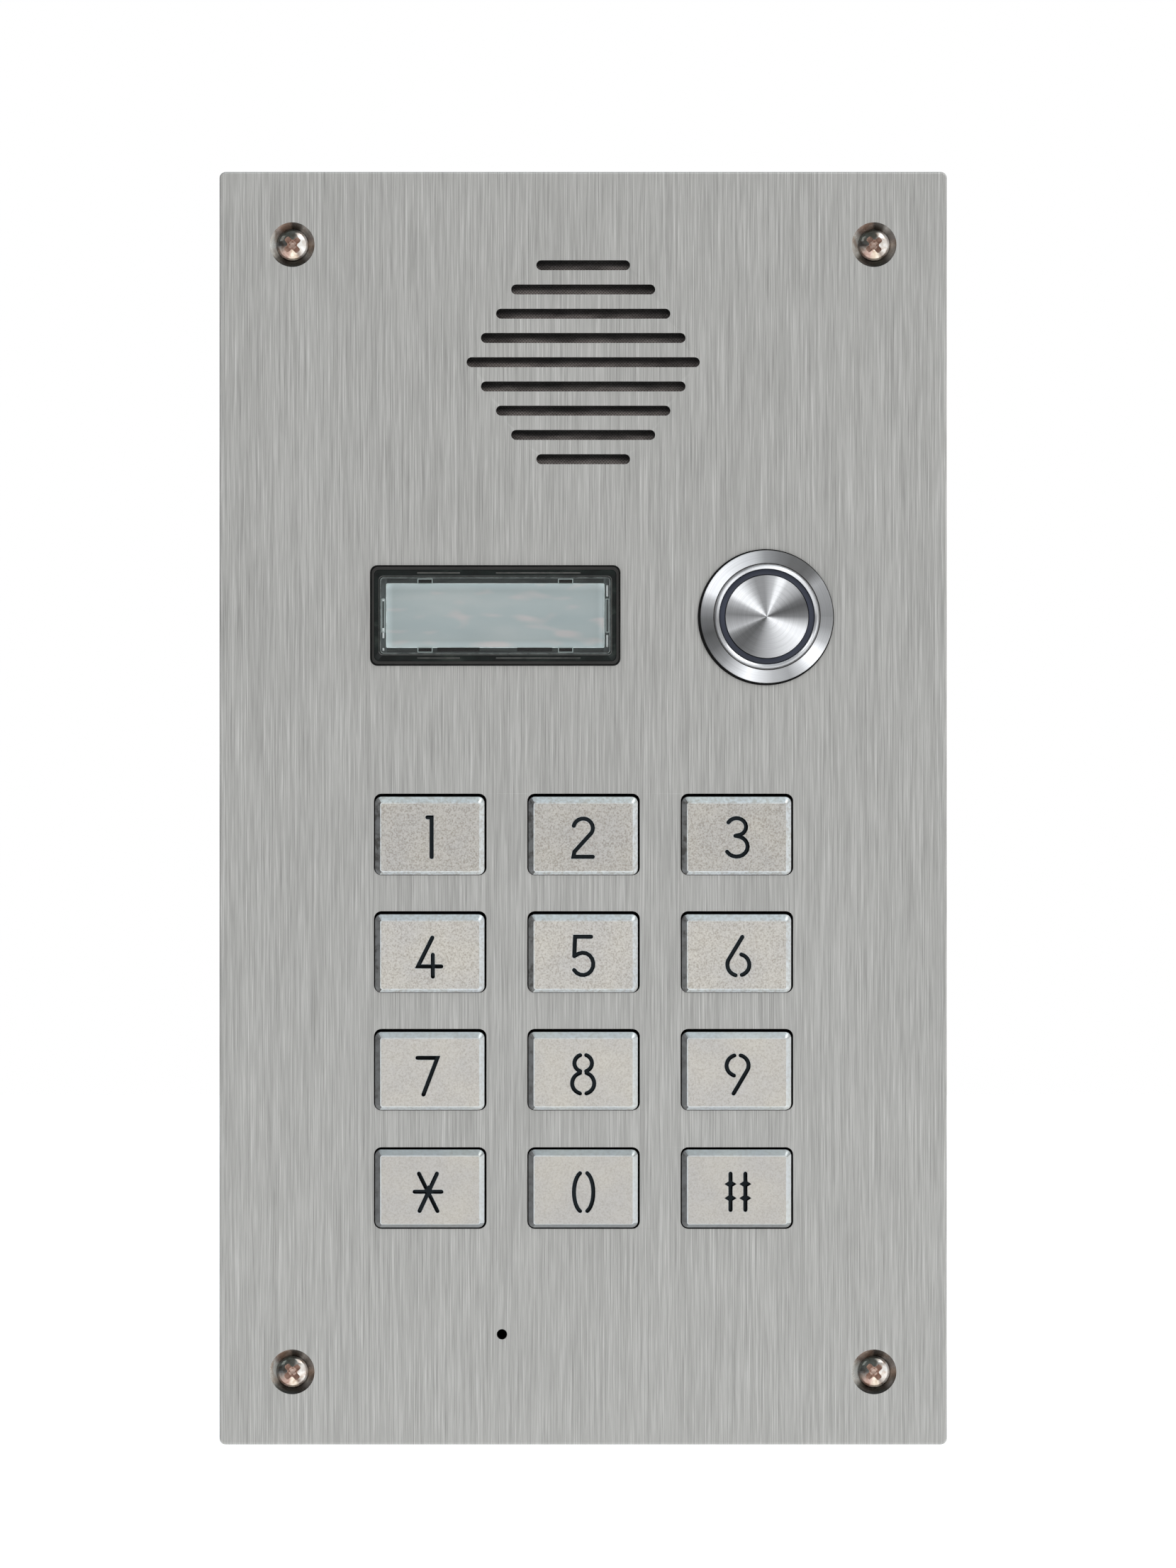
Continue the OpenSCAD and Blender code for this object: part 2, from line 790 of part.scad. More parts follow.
module window_frame() {
    barb_w = 6;
    barb_h = 0.8;
    color(smoked_plastic) stand() translate([window_x, window_y, 0])
        difference() {
            union() {
                slab(window_w, window_h, window_corner_r, plate_front, plate_front + lip_t);
                slab(window_cut_w - 0.3, window_cut_h - 0.3, 1, window_back, plate_front + 0.1);
                for (x = [-hook_x, hook_x])
                    translate([x, 0, 0])
                        block(barb_w, window_cut_h - 0.3 + 2 * barb_h, plate_back - 1.3, plate_back - 0.1);
            }
            slab(lens_w, lens_h, 0.6, ledge_front, plate_front + lip_t + 1);
            slab(label_w, label_h, 0.2, ledge_back - 1, plate_front);
            slab(window_pocket_w, window_pocket_h, 0.6, window_back - 1, ledge_back);
            for (x = [-hook_x, hook_x])
                translate([x, 0, 0])
                    block(hook_w, label_h + 2 * hook_t, ledge_back - 1, plate_front);
        }
}

module window_lens() {
    hook_end = ledge_back + clearance;
    color(clear_plastic) stand() translate([window_x, window_y, 0])
        difference() {
            union() {
                slab(lens_w - 2 * clearance, lens_h - 2 * clearance, 0.6, ledge_front, ledge_front + lens_t);
                for (x = [-hook_x, hook_x])
                    translate([x, 0, 0])
                        block(hook_w - 0.1, label_h + 2 * hook_t - 0.1, hook_end, ledge_front + 0.1);
            }
            block(lens_w, label_h, hook_end - 1, ledge_front);
        }
}

module label_card() {
    color(label_paper) stand() translate([window_x, window_y, 0])
        slab(card_w, card_h, 0.3, ledge_back - card_t, ledge_back);
}

module light_guide() {
    color(clear_plastic) stand() translate([window_x, window_y, 0])
        slab(card_w, card_h, 0.3, guide_back, ledge_back - card_t);
}

module backlight_board() {
    lamps = 3;
    lamp_pitch = 12;
    color(board_green) stand() translate([window_x, window_y, 0]) {
        slab(window_pocket_w - 0.2, window_pocket_h - 0.2, 0.5, guide_back - lamp_t - backlight_board_t,
            guide_back - lamp_t);
        for (i = [0:lamps - 1])
            translate([(i - (lamps - 1) / 2) * lamp_pitch, 0, 0])
                block(3.5, 2.8, guide_back - lamp_t, guide_back - clearance);
    }
}

// ---- Call button ----

module at_button() {
    stand() translate([button_x, button_y, 0]) children();
}

module button_seal() {
    color(black_rubber) at_button()
        ring(bezel_r + seal_rim, barrel_r + clearance, plate_front, bezel_base);
}

// Bezel, rounded lip and threaded barrel in one turned piece.
module button_body() {
    cone_in_r = 8.85;
    cone_top = plate_front + 1.75;
    lip_top = plate_front + 1.95;
    lip_mid_r = (cone_in_r - 0.1 + ring_r) / 2;
    lip_half = (cone_in_r - 0.1 - ring_r) / 2;
    color(polished) at_button()
        turned(concat(
            [[barrel_bore_r, barrel_end], [barrel_r, barrel_end], [barrel_r, bezel_base]],
            [[bezel_r, bezel_base], [bezel_r, bezel_base + 0.3], [cone_in_r, cone_top]],
            arc(lip_mid_r, cone_top - 0.15, lip_half, lip_top - cone_top + 0.15, 0, 180, 8),
            [[ring_r, ring_shelf], [barrel_bore_r, ring_shelf]]
        ), 96);
}

module button_light_ring() {
    color([0.16, 0.18, 0.24]) at_button()
        ring(ring_r - clearance, disc_r + 0.08, ring_shelf, disc_top - 0.25);
}

module call_button() {
    edge = 0.15;
    collar_top = ring_shelf - 0.2;
    color(polished) at_button()
        turned([
            [0, stem_end],
            [stem_r, stem_end],
            [stem_r, collar_top - 0.9],
            [collar_r, collar_top - 0.9],
            [collar_r, collar_top],
            [disc_r, collar_top],
            [disc_r, disc_top - edge],
            [disc_r - edge, disc_top],
            [0, disc_top]
        ], 96);
}

// Ring k of the spring's wire, on a helix between the switch and the button's collar.
spring_low = switch_top + spring_wire_r + clearance;
spring_high = ring_shelf - 1.1 - spring_wire_r - clearance;
spring_sides = 6;
spring_rings = spring_turns * 16;

function spring_ring(k) =
    let (
        along = k / spring_rings,
        turn = 360 * spring_turns * along,
        level = spring_low + (spring_high - spring_low) * along
    )
    [
        for (i = [0:spring_sides - 1])
            let (
                side = 360 * i / spring_sides,
                reach = spring_r + spring_wire_r * cos(side)
            )
            [reach * cos(turn), reach * sin(turn), level + spring_wire_r * sin(side)]
    ];

module button_spring() {
    points = [for (k = [0:spring_rings]) each spring_ring(k)];
    sides = [
        for (k = [0:spring_rings - 1], i = [0:spring_sides - 1])
            let (
                here = k * spring_sides + i,
                beside = k * spring_sides + (i + 1) % spring_sides
            )
            [here, beside, beside + spring_sides, here + spring_sides]
    ];
    start_face = [for (i = [spring_sides - 1:-1:0]) i];
    end_face = [for (i = [0:spring_sides - 1]) spring_rings * spring_sides + i];
    color(polished) at_button()
        polyhedron(points, concat([start_face], sides, [end_face]));
}

module button_nut() {
    nut_flats = 22;
    nut_t = 2.4;
    color(polished) at_button()
        difference() {
            hexagon(nut_flats, plate_back - nut_t, plate_back);
            rod(barrel_r + clearance, plate_back - nut_t - 1, plate_back + 1, fine);
        }
}

// Switch housing under the barrel, with its four terminal blades.
module button_switch() {
    housing_r = 8.9;
    housing_t = 6;
    blade_t = 4.5;
    blade_ring_r = 5.5;
    color(black_plastic) at_button() {
        turned([
            [0, barrel_end - housing_t],
            [housing_r, barrel_end - housing_t],
            [housing_r, barrel_end],
            [barrel_bore_r - clearance, barrel_end],
            [barrel_bore_r - clearance, switch_top],
            [0, switch_top]
        ]);
        for (turn = [0:90:270])
            rotate([0, 0, turn])
                translate([blade_ring_r, 0, 0])
                    block(0.5, 2.8, barrel_end - housing_t - blade_t, barrel_end - housing_t);
    }
}

// ---- Main board ----

module main_board() {
    color(board_green) stand()
        difference() {
            translate([0, main_board_y, 0])
                slab(main_board_w, main_board_h, 1.5, main_board_back, main_board_front);
            at(corner_stud_places)
                rod(m3_r + clearance, main_board_back - 1, main_board_front + 1);
        }
}

// Hexagonal pillars: a stud from the faceplate enters each one's front, and its own stud carries the board.
module board_standoffs() {
    color(brass_yellow) stand() at(corner_stud_places)
        difference() {
            union() {
                hexagon(m3_nut_flats, main_board_front, keypad_board_back);
                rod(m3_r, standoff_end, main_board_front + 0.5);
            }
            rod(m3_r + clearance, corner_stud_end - 1, keypad_board_back + 1);
        }
}

module part_on_board(place, w, h, t) {
    translate([place[0], place[1], 0])
        block(w, h, main_board_back - t, main_board_back);
}

// The door relay, the processor, the sound amplifier, its two volume trimmers and a programming socket.
module board_parts() {
    relay = [19, 15.5, 15];
    processor = [14, 14, 1.6];
    amplifier = [10, 7.5, 2.3];
    trimmer = [7, 7, 4.5];
    socket = [15, 5, 8.5];
    color(black_plastic) stand() {
        part_on_board([-26, -14], relay[0], relay[1], relay[2]);
        part_on_board([4, -38], processor[0], processor[1], processor[2]);
        part_on_board([30, -42], amplifier[0], amplifier[1], amplifier[2]);
        for (y = [-34, -46])
            part_on_board([-34, y], trimmer[0], trimmer[1], trimmer[2]);
        part_on_board([4, -66], socket[0], socket[1], socket[2]);
    }
}

module board_capacitors() {
    can_r = 4;
    can_t = 11;
    color([0.15, 0.17, 0.3]) stand()
        at([[20, -12], [31, -12], [31, -24]])
            turned([
                [0, main_board_back - can_t], [can_r - 0.5, main_board_back - can_t],
                [can_r, main_board_back - can_t + 0.5], [can_r, main_board_back - 2],
                [can_r - 0.4, main_board_back - 1.6], [can_r, main_board_back - 1.2],
                [can_r, main_board_back], [0, main_board_back]
            ], small);
}

// A row of screw terminals. Wires enter from above, and the screws face the back of the box.
module terminal_block() {
    depth = 9;
    height = 10;
    top_y = main_board_y + main_board_h / 2 - 0.5;
    middle_y = top_y - depth / 2;
    block_back = main_board_back - height;
    color([0.13, 0.36, 0.24]) stand() translate([0, middle_y, 0])
        difference() {
            block(terminal_count * terminal_pitch + 1, depth, block_back, main_board_back);
            for (i = [0:terminal_count - 1])
                translate([(i - (terminal_count - 1) / 2) * terminal_pitch, 0, 0]) {
                    translate([0, -1, 0])
                        rod(1.9, block_back - 1, block_back + 4);
                    translate([0, depth / 2 - 2.5, 0])
                        block(3.6, 6, block_back + 5, block_back + 9);
                }
        }
}

// ---- The assembly ----

faceplate();
weld_studs();
stud_nuts();
corner_screws();
rim_gasket();
back_box();
box_inserts();
cable_grommet();
speaker_cloth();
speaker_gasket();
speaker_basket();
speaker_cone();
speaker_magnet();
speaker_clamps();
mic_boot();
mic_capsule();
window_frame();
window_lens();
label_card();
light_guide();
backlight_board();
button_body();
button_seal();
button_nut();
button_light_ring();
button_switch();
call_button();
button_spring();
keypad_frame();
keypad_mat();
keypad_board();
main_board();
board_parts();
board_capacitors();
terminal_block();
board_standoffs();
for (k = [0:len(KEY_NAMES) - 1]) {
    key_cap(k);
    key_core(k);
}
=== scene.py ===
"""The looks of a door intercom panel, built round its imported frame.

Shapes are drawn in plan millimetres: x across, y up the panel and z out towards the visitor, with z = 0 on
the face of the wall. In the frame that is X, Z and -Y. Places and sizes come from the CAD nodes' boxes.
"""

import math

import bmesh
import bpy
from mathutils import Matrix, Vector
from mathutils.geometry import tessellate_polygon


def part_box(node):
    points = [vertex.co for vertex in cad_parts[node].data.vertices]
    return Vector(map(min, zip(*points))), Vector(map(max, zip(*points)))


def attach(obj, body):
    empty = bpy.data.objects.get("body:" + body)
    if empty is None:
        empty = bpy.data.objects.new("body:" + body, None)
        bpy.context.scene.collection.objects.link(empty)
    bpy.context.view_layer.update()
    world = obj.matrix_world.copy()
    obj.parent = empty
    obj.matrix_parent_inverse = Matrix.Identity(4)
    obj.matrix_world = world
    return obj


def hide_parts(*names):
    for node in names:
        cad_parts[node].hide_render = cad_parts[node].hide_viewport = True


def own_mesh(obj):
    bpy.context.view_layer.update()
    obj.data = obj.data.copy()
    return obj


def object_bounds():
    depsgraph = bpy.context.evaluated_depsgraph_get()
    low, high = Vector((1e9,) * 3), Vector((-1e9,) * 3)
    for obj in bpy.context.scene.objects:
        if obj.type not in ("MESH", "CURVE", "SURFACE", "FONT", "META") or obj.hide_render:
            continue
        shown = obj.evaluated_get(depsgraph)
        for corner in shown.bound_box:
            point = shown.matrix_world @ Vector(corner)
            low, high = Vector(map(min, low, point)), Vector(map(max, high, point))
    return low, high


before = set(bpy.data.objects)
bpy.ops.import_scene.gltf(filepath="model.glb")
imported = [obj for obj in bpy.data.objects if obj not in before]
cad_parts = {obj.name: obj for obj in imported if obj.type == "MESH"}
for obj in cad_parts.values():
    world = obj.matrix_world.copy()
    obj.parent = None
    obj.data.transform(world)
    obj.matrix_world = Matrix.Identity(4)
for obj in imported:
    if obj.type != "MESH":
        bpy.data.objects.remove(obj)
cad_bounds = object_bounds()

MM = 0.001  # one plan millimetre, in metres
KEY_NAMES = ["1", "2", "3", "4", "5", "6", "7", "8", "9", "star", "0", "hash"]
KEYS_ACROSS = 3
CORNERS = [(side, end) for side in (-1, 1) for end in (-1, 1)]


class Plan:
    """A CAD node's box at rest, in plan millimetres."""

    def __init__(self, node):
        low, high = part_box(node)
        self.left, self.right = low.x / MM, high.x / MM
        self.bottom, self.top = low.z / MM, high.z / MM
        self.back, self.front = -high.y / MM, -low.y / MM
        self.x, self.y = (self.left + self.right) / 2, (self.bottom + self.top) / 2
        self.w, self.h = self.right - self.left, self.top - self.bottom


# ---- Outlines and profiles ----


def arc(x, y, rx, ry, start, end, steps=12):
    """Points along an arc, from one angle to another in degrees."""
    turns = [math.radians(start + (end - start) * i / steps) for i in range(steps + 1)]
    return [(x + rx * math.cos(turn), y + ry * math.sin(turn)) for turn in turns]


def circle(x, y, r, steps=96):
    return arc(x, y, r, r, 0, 360, steps)[:-1]


def rounded_rect(x, y, w, h, r, steps=6):
    r = max(r, 0.02)
    right, top = w / 2 - r, h / 2 - r
    middles = [(right, top), (-right, top), (-right, -top), (right, -top)]
    return [
        point
        for quarter, (cx, cy) in enumerate(middles)
        for point in arc(x + cx, y + cy, r, r, 90 * quarter, 90 * quarter + 90, steps)
    ]


def rect(x, y, w, h, r, steps=6):
    """A rounded rectangle as a function of how far it is grown."""
    return lambda grow: rounded_rect(x, y, w + 2 * grow, h + 2 * grow, r + grow, steps)


def disc(x, y, r, steps=96):
    """A circle as a function of how far it is grown."""
    return lambda grow: circle(x, y, r + grow, steps)


def soften(profile, size, closed=False, steps=2):
    """Rounds a profile's corners. Each curve starts at most `size` before its corner."""
    made = []
    last = len(profile) - 1
    for i, corner in enumerate(profile):
        if not closed and i in (0, last):
            made.append(corner)
            continue
        here = Vector(corner)
        before = Vector(profile[i - 1]) - here
        after = Vector(profile[(i + 1) % len(profile)]) - here
        reach = min(size, 0.45 * before.length, 0.45 * after.length)
        start = here + before.normalized() * reach
        end = here + after.normalized() * reach
        for k in range(steps + 1):
            t = k / steps
            made.append(tuple((1 - t) ** 2 * start + 2 * t * (1 - t) * here + t * t * end))
    return made


def edge_profile(front, back, size, side, steps=3):
    """Round from a plate's front face to its back face. side is -1 on its outside and 1 in a hole."""
    turns = [math.pi / 2 * i / steps for i in range(steps + 1)]
    over = [(side * size * (1 - math.sin(t)), front - size * (1 - math.cos(t))) for t in turns]
    under = [(side * size * (1 - math.sin(t)), back + size * (1 - math.cos(t))) for t in reversed(turns)]
    return over + under


class Shape:
    """The points and faces of a piece, in plan millimetres. Each face has the number of its finish."""

    def __init__(self):
        self.points = []
        self.faces = []
        self.finishes = []

    def ring(self, outline, level):
        """Adds a ring of points and gives their numbers."""
        start = len(self.points)
        self.points += [(x, y, level) for x, y in outline]
        return list(range(start, len(self.points)))

    def rings(self, outline, profile):
        """A ring of the outline at each (grow, level) of a profile."""
        return [self.ring(outline(grow), level) for grow, level in profile]

    def face(self, corners, finish=0):
        self.faces.append(tuple(dict.fromkeys(corners)))
        self.finishes.append(finish)

    def join(self, a, b, finish=0):
        """A band of faces between two rings. A ring of one point makes a tip."""
        count = max(len(a), len(b))
        for i in range(count):
            j = (i + 1) % count
            self.face([a[i % len(a)], a[j % len(a)], b[j % len(b)], b[i % len(b)]], finish)

    def wall(self, rings, finish=0, closed=False):
        following = rings[1:] + rings[:1] if closed else rings[1:]
        for a, b in zip(rings, following):
            self.join(a, b, finish)

    def lid(self, rim, holes=(), finish=0):
        """Fills a flat rim, less any holes in it."""
        if not holes:
            self.face(rim, finish)
            return
        loops = [rim, *holes]
        numbers = [n for loop in loops for n in loop]
        flat = [[Vector(self.points[n]) for n in loop] for loop in loops]
        for triangle in tessellate_polygon(flat):
            self.face([numbers[i] for i in triangle], finish)

    def ends(self, rings, finish=0):
        """Fills the first and the last of some rings."""
        self.lid(rings[0], finish=finish)
        self.lid(rings[-1], finish=finish)

    def solid(self, outline, profile, finish=0):
        """A closed solid with a ring of the outline at each (grow, level)."""
        rings = self.rings(outline, profile)
        self.wall(rings, finish)
        self.ends(rings, finish)

    def block(self, x, y, w, h, back, front, edge=0.1, r=0.15, finish=0):
        profile = [(-edge, back), (0, back + edge), (0, front - edge), (-edge, front)]
        self.solid(rect(x, y, w, h, r, 3), profile, finish)

    def turned(self, x, y, profile, steps=96, finish=0):
        """Turns a profile of (radius, level) about its axis. It ends on the axis, or it closes on itself."""
        rings = [self.ring([(x, y)] if r == 0 else circle(x, y, r, steps), level) for r, level in profile]
        self.wall(rings, finish, closed=profile[0][0] != 0)

    def peg(self, x, y, r, low, high, steps=40):
        """A plain round peg."""
        self.turned(x, y, [(0, low), (r, low), (r, high), (0, high)], steps)
        return self

    def loop(self, x, y, sections):
        """A frame whose section closes on itself, from rounded rectangles of (w, h, r, level)."""
        rings = [self.ring(rounded_rect(x, y, w, h, r), level) for w, h, r, level in sections]
        self.wall(rings, closed=True)

    def thread(self, x, y, r, low, high, pitch, depth, steps):
        """The rings of a screw thread, whose radius follows its vee once round for each pitch."""
        rings_a_pitch = 5
        count = round((high - low) / pitch * rings_a_pitch)
        rings = []
        for k in range(count + 1):
            level = low + (high - low) * k / count
            run_out = depth if k in (0, count) else 0
            outline = []
            for i in range(steps):
                phase = ((level - low) / pitch - i / steps) % 1
                reach = r - max(run_out, depth * (1 - abs(2 * phase - 1)))
                turn = 2 * math.pi * i / steps
                outline.append((x + reach * math.cos(turn), y + reach * math.sin(turn)))
            rings.append(self.ring(outline, level))
        return rings

    def hexagon(self, x, y, flats, bore, back, front, steps):
        """A nut, with its six corners turned down at both ends."""
        turned_r = flats / 2 * 0.97
        slope = 0.55
        sixth = math.pi / 3
        turns = [2 * math.pi * i / steps for i in range(steps)]
        reach = [flats / 2 / math.cos((turn + sixth / 2) % sixth - sixth / 2) for turn in turns]
        rim = [(x + r * math.cos(turn), y + r * math.sin(turn)) for turn, r in zip(turns, reach)]
        ends = []
        for level, inwards in ((back, 1), (front, -1)):
            corners = self.ring(rim, level)
            for number, r in zip(corners, reach):
                px, py, _ = self.points[number]
                self.points[number] = (px, py, level + inwards * slope * (r - turned_r))
            hole = self.ring(circle(x, y, bore, steps), level)
            flat = self.ring(circle(x, y, turned_r, steps), level)
            ends.append([hole, flat, corners])
        self.wall(ends[0] + ends[1][::-1], closed=True)


# ---- Pieces ----


def add_object(name, data):
    made = bpy.data.objects.new(name, data)
    bpy.context.scene.collection.objects.link(made)
    return made


def mesh_object(name, shape, materials=()):
    mesh = bpy.data.meshes.new(name)
    mesh.from_pydata([(x * MM, -z * MM, y * MM) for x, y, z in shape.points], [], shape.faces)
    for material in materials:
        mesh.materials.append(material)
    mesh.polygons.foreach_set("material_index", shape.finishes)
    build = bmesh.new()
    build.from_mesh(mesh)
    bmesh.ops.recalc_face_normals(build, faces=build.faces)
    build.to_mesh(mesh)
    build.free()
    return add_object(name, mesh)


def cut(target, shapes, operation="DIFFERENCE"):
    """Cuts shapes out of an object, or joins them to it, and keeps the result as its mesh."""
    tools = [mesh_object("cutter", shape, target.data.materials) for shape in shapes]
    for tool in tools:
        modifier = target.modifiers.new("cut", "BOOLEAN")
        modifier.operation = operation
        modifier.solver = "EXACT"
        modifier.object = tool
    graph = bpy.context.evaluated_depsgraph_get()
    result = bpy.data.meshes.new_from_object(target.evaluated_get(graph))
    target.modifiers.clear()
    target.data = result
    for tool in tools:
        bpy.data.objects.remove(tool)


def finish_piece(made, body, stands_for, sharp=32):
    """Smooths a piece, except at its sharp edges, and puts it on its body in place of its CAD node."""
    made.data.shade_smooth()
    made.data.set_sharp_from_angle(angle=math.radians(sharp))
    weighted = made.modifiers.new("face weighted normals", "WEIGHTED_NORMAL")
    weighted.keep_sharp = True
    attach(made, body)
    if stands_for:
        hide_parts(stands_for)


def piece(name, shape, materials, stands_for=None, body="panel"):
    made = mesh_object(name, shape, materials)
    finish_piece(made, body, stands_for)
    return made


def turned_piece(name, x, y, profile, steps, material, stands_for, body="panel"):
    """A piece in one material, turned about one axis."""
    shape = Shape()
    shape.turned(x, y, profile, steps)
    return piece(name, shape, [material], stands_for, body)


# ---- Finishes ----


class Nodes:
    """The nodes of a material or a world."""

    def __init__(self, tree):
        self.tree = tree

    def node(self, kind, **settings):
        made = self.tree.nodes.new(kind)
        for setting, value in settings.items():
            setattr(made, setting, value)
        return made

    def put(self, socket, value):
        """Links an output to a socket, or sets the socket to a constant."""
        if isinstance(value, bpy.types.NodeSocket):
            self.tree.links.new(value, socket)
        elif isinstance(value, tuple) and len(value) == 3 and len(socket.default_value) == 4:
            socket.default_value = (*value, 1)
        else:
            socket.default_value = value

    def part(self, vector, axis):
        made = self.node("ShaderNodeSeparateXYZ")
        self.put(made.inputs[0], vector)
        return made.outputs[axis]

    def math(self, operation, a, b=0.0):
        made = self.node("ShaderNodeMath", operation=operation)
        self.put(made.inputs[0], a)
        self.put(made.inputs[1], b)
        return made.outputs[0]

    def ramp(self, value, stops):
        """Colours or greys along a value, from (position, colour) stops."""
        made = self.node("ShaderNodeValToRGB")
        elements = made.color_ramp.elements
        while len(elements) < len(stops):
            elements.new(0.5)
        for element, (position, colour) in zip(elements, stops):
            element.position = position
            element.color = (*colour, 1) if isinstance(colour, tuple) else (colour, colour, colour, 1)
        self.put(made.inputs["Fac"], value)
        return made.outputs["Color"]

    def span(self, value, low, high, from_low=0.0, from_high=1.0):
        """Carries a value from one range to another, and holds it there."""
        made = self.node("ShaderNodeMapRange")
        self.put(made.inputs["Value"], value)
        made.inputs["From Min"].default_value = from_low
        made.inputs["From Max"].default_value = from_high
        made.inputs["To Min"].default_value = low
        made.inputs["To Max"].default_value = high
        return made.outputs["Result"]

    def mix(self, share, a, b, blend="MIX"):
        made = self.node("ShaderNodeMix", data_type="RGBA", blend_type=blend)
        self.put(made.inputs["Factor"], share)
        self.put(made.inputs[6], a)
        self.put(made.inputs[7], b)
        return made.outputs[2]

    def times(self, a, b):
        """One colour multiplied by another."""
        return self.mix(1.0, a, b, "MULTIPLY")


class Finish(Nodes):
    """A procedural material, and the nodes that feed its shader."""

    def __init__(self, name, colour, roughness, metallic=0.0, **sockets):
        self.material = bpy.data.materials.new(name)
        self.material.use_nodes = True
        super().__init__(self.material.node_tree)
        self.shader = self.tree.nodes["Principled BSDF"]
        self.shader.inputs["Base Color"].default_value = (*colour, 1)
        self.shader.inputs["Roughness"].default_value = roughness
        self.shader.inputs["Metallic"].default_value = metallic
        for socket, value in sockets.items():
            self.shader.inputs[socket.replace("_", " ")].default_value = value
        self.place = self.node("ShaderNodeTexCoord").outputs["Object"]

    def feed(self, name, output):
        self.tree.links.new(output, self.shader.inputs[name])

    def colour(self, value, stops):
        """Colours the surface along a value."""
        self.feed("Base Color", self.ramp(value, stops))

    def gloss(self, value, low, high):
        """Varies the roughness with a noise, between a low and a high value."""
        self.feed("Roughness", self.span(value, low, high, 0.3, 0.7))

    def scaled(self, across, out, up):
        """The place on the surface, measured in so many millimetres each way."""
        mapping = self.node("ShaderNodeMapping")
        mapping.inputs["Scale"].default_value = (1 / (across * MM), 1 / (out * MM), 1 / (up * MM))
        self.put(mapping.inputs["Vector"], self.place)
        return mapping

    def plan(self, x=0.0, y=0.0):
        """Plan millimetres from (x, y): X across, Z up, and Y into the wall."""
        mapping = self.scaled(1, 1, 1)
        mapping.inputs["Location"].default_value = (-x, 0, -y)
        return mapping.outputs["Vector"]

    def noise(self, size, detail=2.0, rough=0.5, warp=0.0):
        """Noise whose grain is `size` millimetres: one number, or (across, up, out)."""
        across, up, out = size if isinstance(size, tuple) else (size, size, size)
        noise = self.node("ShaderNodeTexNoise")
        noise.inputs["Scale"].default_value = 1.0
        noise.inputs["Detail"].default_value = detail
        noise.inputs["Roughness"].default_value = rough
        noise.inputs["Distortion"].default_value = warp
        self.put(noise.inputs["Vector"], self.scaled(across, out, up).outputs["Vector"])
        return noise.outputs["Fac"]

    def cells(self, size):
        """The distance from the middles of cells that are `size` millimetres apart."""
        cells = self.node("ShaderNodeTexVoronoi")
        cells.inputs["Scale"].default_value = 1.0
        self.put(cells.inputs["Vector"], self.scaled(size, size, size).outputs["Vector"])
        return cells.outputs["Distance"]

    def sectors(self, place, lobes):
        """Tones round an axis, from (degrees from the right, tone) stops."""
        turn = self.math("ARCTAN2", self.part(place, "Z"), self.part(place, "X"))
        share = self.math("FRACT", self.math("ADD", self.math("DIVIDE", turn, 2 * math.pi), 1.0))
        return self.ramp(share, [(angle / 360, tone) for angle, tone in lobes])

    def from_screw(self):
        """Plan millimetres from the nearest of the four screws."""
        place = self.plan()
        made = self.node("ShaderNodeCombineXYZ")
        for axis, apart in (("X", SCREW_SPAN[0]), ("Z", SCREW_SPAN[1])):
            folded = self.math("FLOORED_MODULO", self.part(place, axis), apart)
            self.put(made.inputs[axis], self.math("SUBTRACT", folded, apart / 2))
        return made.outputs[0]

    def bump(self, height, depth):
        """Raises the surface by up to `depth` millimetres where height is 1."""
        made = self.node("ShaderNodeBump")
        made.inputs["Distance"].default_value = depth * MM
        made.inputs["Strength"].default_value = 1.0
        self.put(made.inputs["Height"], height)
        self.feed("Normal", made.outputs["Normal"])


def brushed_steel():
    """Vertical brush marks: short fine lines over longer, fainter ones."""
    steel = Finish("brushed_steel", (0.42, 0.412, 0.4), 0.42, 0.6, Anisotropic=0.5)
    bands = steel.noise((0.8, 110, 50), 2)
    lines = steel.noise((0.19, 21, 30), 3, 0.62)
    hairs = steel.noise((0.08, 7, 20), 2, 0.6)
    marks = steel.math("ADD", steel.math("MULTIPLY", lines, 0.55), steel.math("MULTIPLY", hairs, 0.45))
    marks = steel.math("ADD", steel.math("MULTIPLY", bands, 0.1), steel.math("MULTIPLY", marks, 0.9))
    steel.colour(marks, [
        (0.32, (0.255, 0.25, 0.242)), (0.5, (0.42, 0.413, 0.4)), (0.68, (0.63, 0.62, 0.605)),
    ])
    steel.gloss(lines, 0.36, 0.5)
    steel.bump(marks, 0.005)
    across = steel.node("ShaderNodeCombineXYZ")
    across.inputs["X"].default_value = 1
    steel.feed("Tangent", across.outputs[0])
    return steel.material


def cut_edge_painted_shade():
    """Steel inside the openings, near black: painted shade for the deep gaps, over the dull edge left where
    it was blanked out.
    """
    edge = Finish("cut_edge_painted_shade", (0.05, 0.048, 0.046), 0.6, 0.5)
    scores = edge.noise((0.25, 0.25, 1.4), 3)
    edge.colour(scores, [(0.35, (0.03, 0.028, 0.027)), (0.7, (0.09, 0.085, 0.08))])
    edge.bump(scores, 0.02)
    return edge.material


def chrome_with_painted_reflections(name, lobes, metallic, roughness, painted_smear_size):
    """Bright metal round each screw, with painted reflections: light and dark sectors, and brownish smears
    painted into its polish.
    """
    chrome = Finish(name, (0.6, 0.57, 0.54), roughness, metallic)
    # Painted reflections: light and dark sectors round the nearest screw, and brownish smears over them.
    tone = chrome.sectors(chrome.from_screw(), lobes)
    painted_smears = chrome.ramp(chrome.noise(painted_smear_size, 3, 0.5, 0.8), [(0.35, (0.6, 0.5, 0.44)), (0.6, (1, 1, 1))])
    chrome.feed("Base Color", chrome.times(tone, painted_smears))
    chrome.gloss(chrome.noise(0.8, 2), roughness * 0.75, roughness * 1.4)
    chrome.bump(chrome.noise(1.1, 2), 0.006)
    return chrome.material


